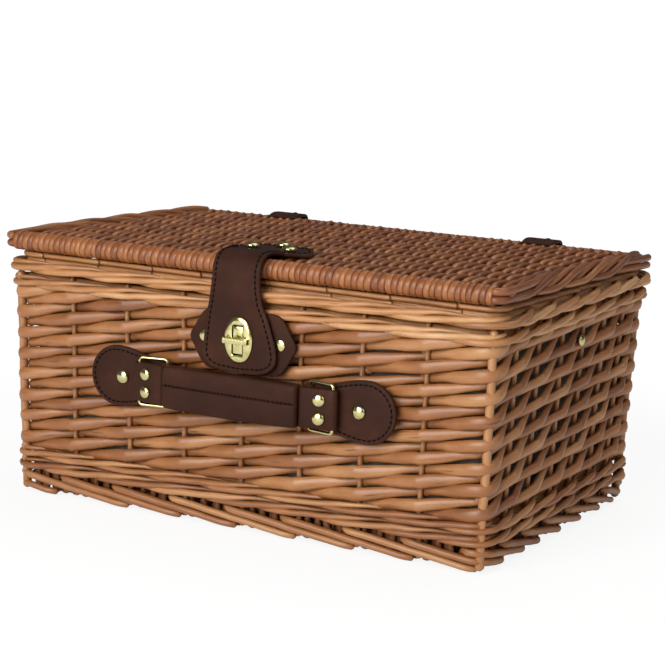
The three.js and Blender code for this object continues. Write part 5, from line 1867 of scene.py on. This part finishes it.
@dataclass(frozen=True)
class Studio:
    """White floor, soft light from above the camera, and the camera at the picture's angle."""

    eye: Point = (0.80694, -1.42730, 0.43398)
    azimuth: float = 29.3
    elevation: float = 10.47
    roll: float = 1.72
    lens: float = 116.3
    target: Point = (0, 0, 0.1)
    shade_x: float = 0.184
    shade_y: float = 0.106
    ambient: float = 0.26
    mirrored: float = 0.10

    def camera(self) -> None:
        """Sets up the camera."""
        a, e, r = (math.radians(v) for v in (self.azimuth, self.elevation, self.roll))
        back = Vector((math.sin(a) * math.cos(e), -math.cos(a) * math.cos(e), math.sin(e)))
        right = Vector((math.cos(a), math.sin(a), 0))
        up = back.cross(right)
        across = right * math.cos(r) + up * math.sin(r)
        high = up * math.cos(r) - right * math.sin(r)
        data = bpy.data.cameras.new("camera")
        data.lens = self.lens
        data.sensor_width = 36
        eye = linked("camera", data)
        turn = Matrix((across, high, back)).transposed().to_4x4()
        eye.matrix_world = Matrix.Translation(self.eye) @ turn
        bpy.context.scene.camera = eye

    def lamp(self, name: str, place: Point, size: float, power: float) -> None:
        """Adds a square lamp that looks at the hamper."""
        data = bpy.data.lights.new(name, "AREA")
        data.size = size
        data.energy = power
        lamp = linked(name, data)
        lamp.location = place
        lamp.rotation_mode = "QUATERNION"
        lamp.rotation_quaternion = (Vector(self.target) - Vector(place)).to_track_quat("-Z", "Y")

    def floor(self) -> None:
        """Adds a floor that is white to the camera but for the shade under the hamper."""
        deselect()
        bpy.ops.mesh.primitive_plane_add(size=12, location=(0, 0, -0.0004))
        floor = bpy.context.object
        floor.name = "floor"
        settle(floor)
        mat = Recipe("floor_paper")
        mat.set(Base_Color=srgb("f7f6f4"), Roughness=0.9)
        reach = mat.term("ShaderNodeVectorMath", {"operation": "LENGTH"}, {0: mat.place()}, "Value")
        x, y = (part.size() for part in mat.parts(mat.place())[:2])
        under = x.below(self.shade_x) * y.below(self.shade_y)
        ray = mat.term("ShaderNodeLightPath", output="Is Camera Ray")
        glow = mat.node("ShaderNodeEmission", None, {"Color": (1, 1, 1, 1), "Strength": 1.02})
        lit = ray * (1 - under) * (reach.ramp(0.35, 0.75) * 0.14 + 0.86)
        mixed = mat.node("ShaderNodeMixShader", None,
                         {0: lit, 1: mat.shader.outputs[0], 2: glow.outputs[0]})
        output = next(n for n in mat.tree.nodes if n.type == "OUTPUT_MATERIAL")
        mat.feed(output.inputs["Surface"], mixed.outputs[0])
        dress(floor, mat.material)

    def world(self) -> None:
        """Even light all round, white where the camera sees it and dim where gloss mirrors it."""
        world = bpy.data.worlds.new("studio")
        world.use_nodes = True
        tree = world.node_tree
        background = tree.nodes["Background"]
        ray = tree.nodes.new("ShaderNodeLightPath")
        strength: bpy.types.NodeSocket | float = self.ambient
        for kind, value in (("Is Glossy Ray", self.mirrored), ("Is Camera Ray", 1.0)):
            mixed = tree.nodes.new("ShaderNodeMix")
            mixed.inputs[3].default_value = value
            tree.links.new(ray.outputs[kind], mixed.inputs[0])
            if isinstance(strength, float):
                mixed.inputs[2].default_value = strength
            else:
                tree.links.new(strength, mixed.inputs[2])
            strength = mixed.outputs[0]
        tree.links.new(strength, background.inputs["Strength"])
        background.inputs["Color"].default_value = (1, 1, 1, 1)
        bpy.context.scene.world = world
        bpy.context.scene.view_settings.view_transform = "Standard"

    def build(self) -> None:
        """Sets up the studio."""
        self.camera()
        self.floor()
        self.world()
        self.lamp("key", (-0.18, -2.28, 1.04), 1.7, 66)
        self.lamp("fill", (2.3, -0.6, 1.4), 1.6, 12)
        self.lamp("top", (0.2, 0.9, 2.4), 1.6, 18)


def main() -> None:
    """Builds the hamper in order."""
    logging.basicConfig(level=logging.INFO, format="%(name)s: %(message)s")
    Studio().build()
    finishes = Finishes()
    line = StakeLine()
    under_rim = StakeLine(half_length=0.2012, corner=0.012)
    at_rim = StakeLine(half_length=0.2032, corner=0.014)
    plane = LidPlane(line.middle)
    strap_x, lock_x = 0.0045, 0.0085
    handle = Handle(strap_x)
    parts = (
        Walls(line),
        Wale(line, "bottom_wale", 0.0190, 0.0047, 0.00235, rounds=2),
        Wale(under_rim, "top_wale", 0.1632, 0.0046, 0.0025, out=0.0062, pale=True, splinters=5),
        Wale(at_rim, "rim_border", 0.1750, 0.0046, 0.0026, out=0.0066, pale=True, splinters=5,
             laid=0.1856),
        Foot(line), Base(), Lid(plane), Lining(), Hasp(strap_x, lock_x), Lock(lock_x), handle,
        HingeStraps(), Stays(), Rivets(plane, handle),
    )
    for part in parts:
        for piece in part.build(finishes):
            log.info("%s: %d faces", piece.name, len(piece.data.polygons))


if __name__ == "__main__":
    main()
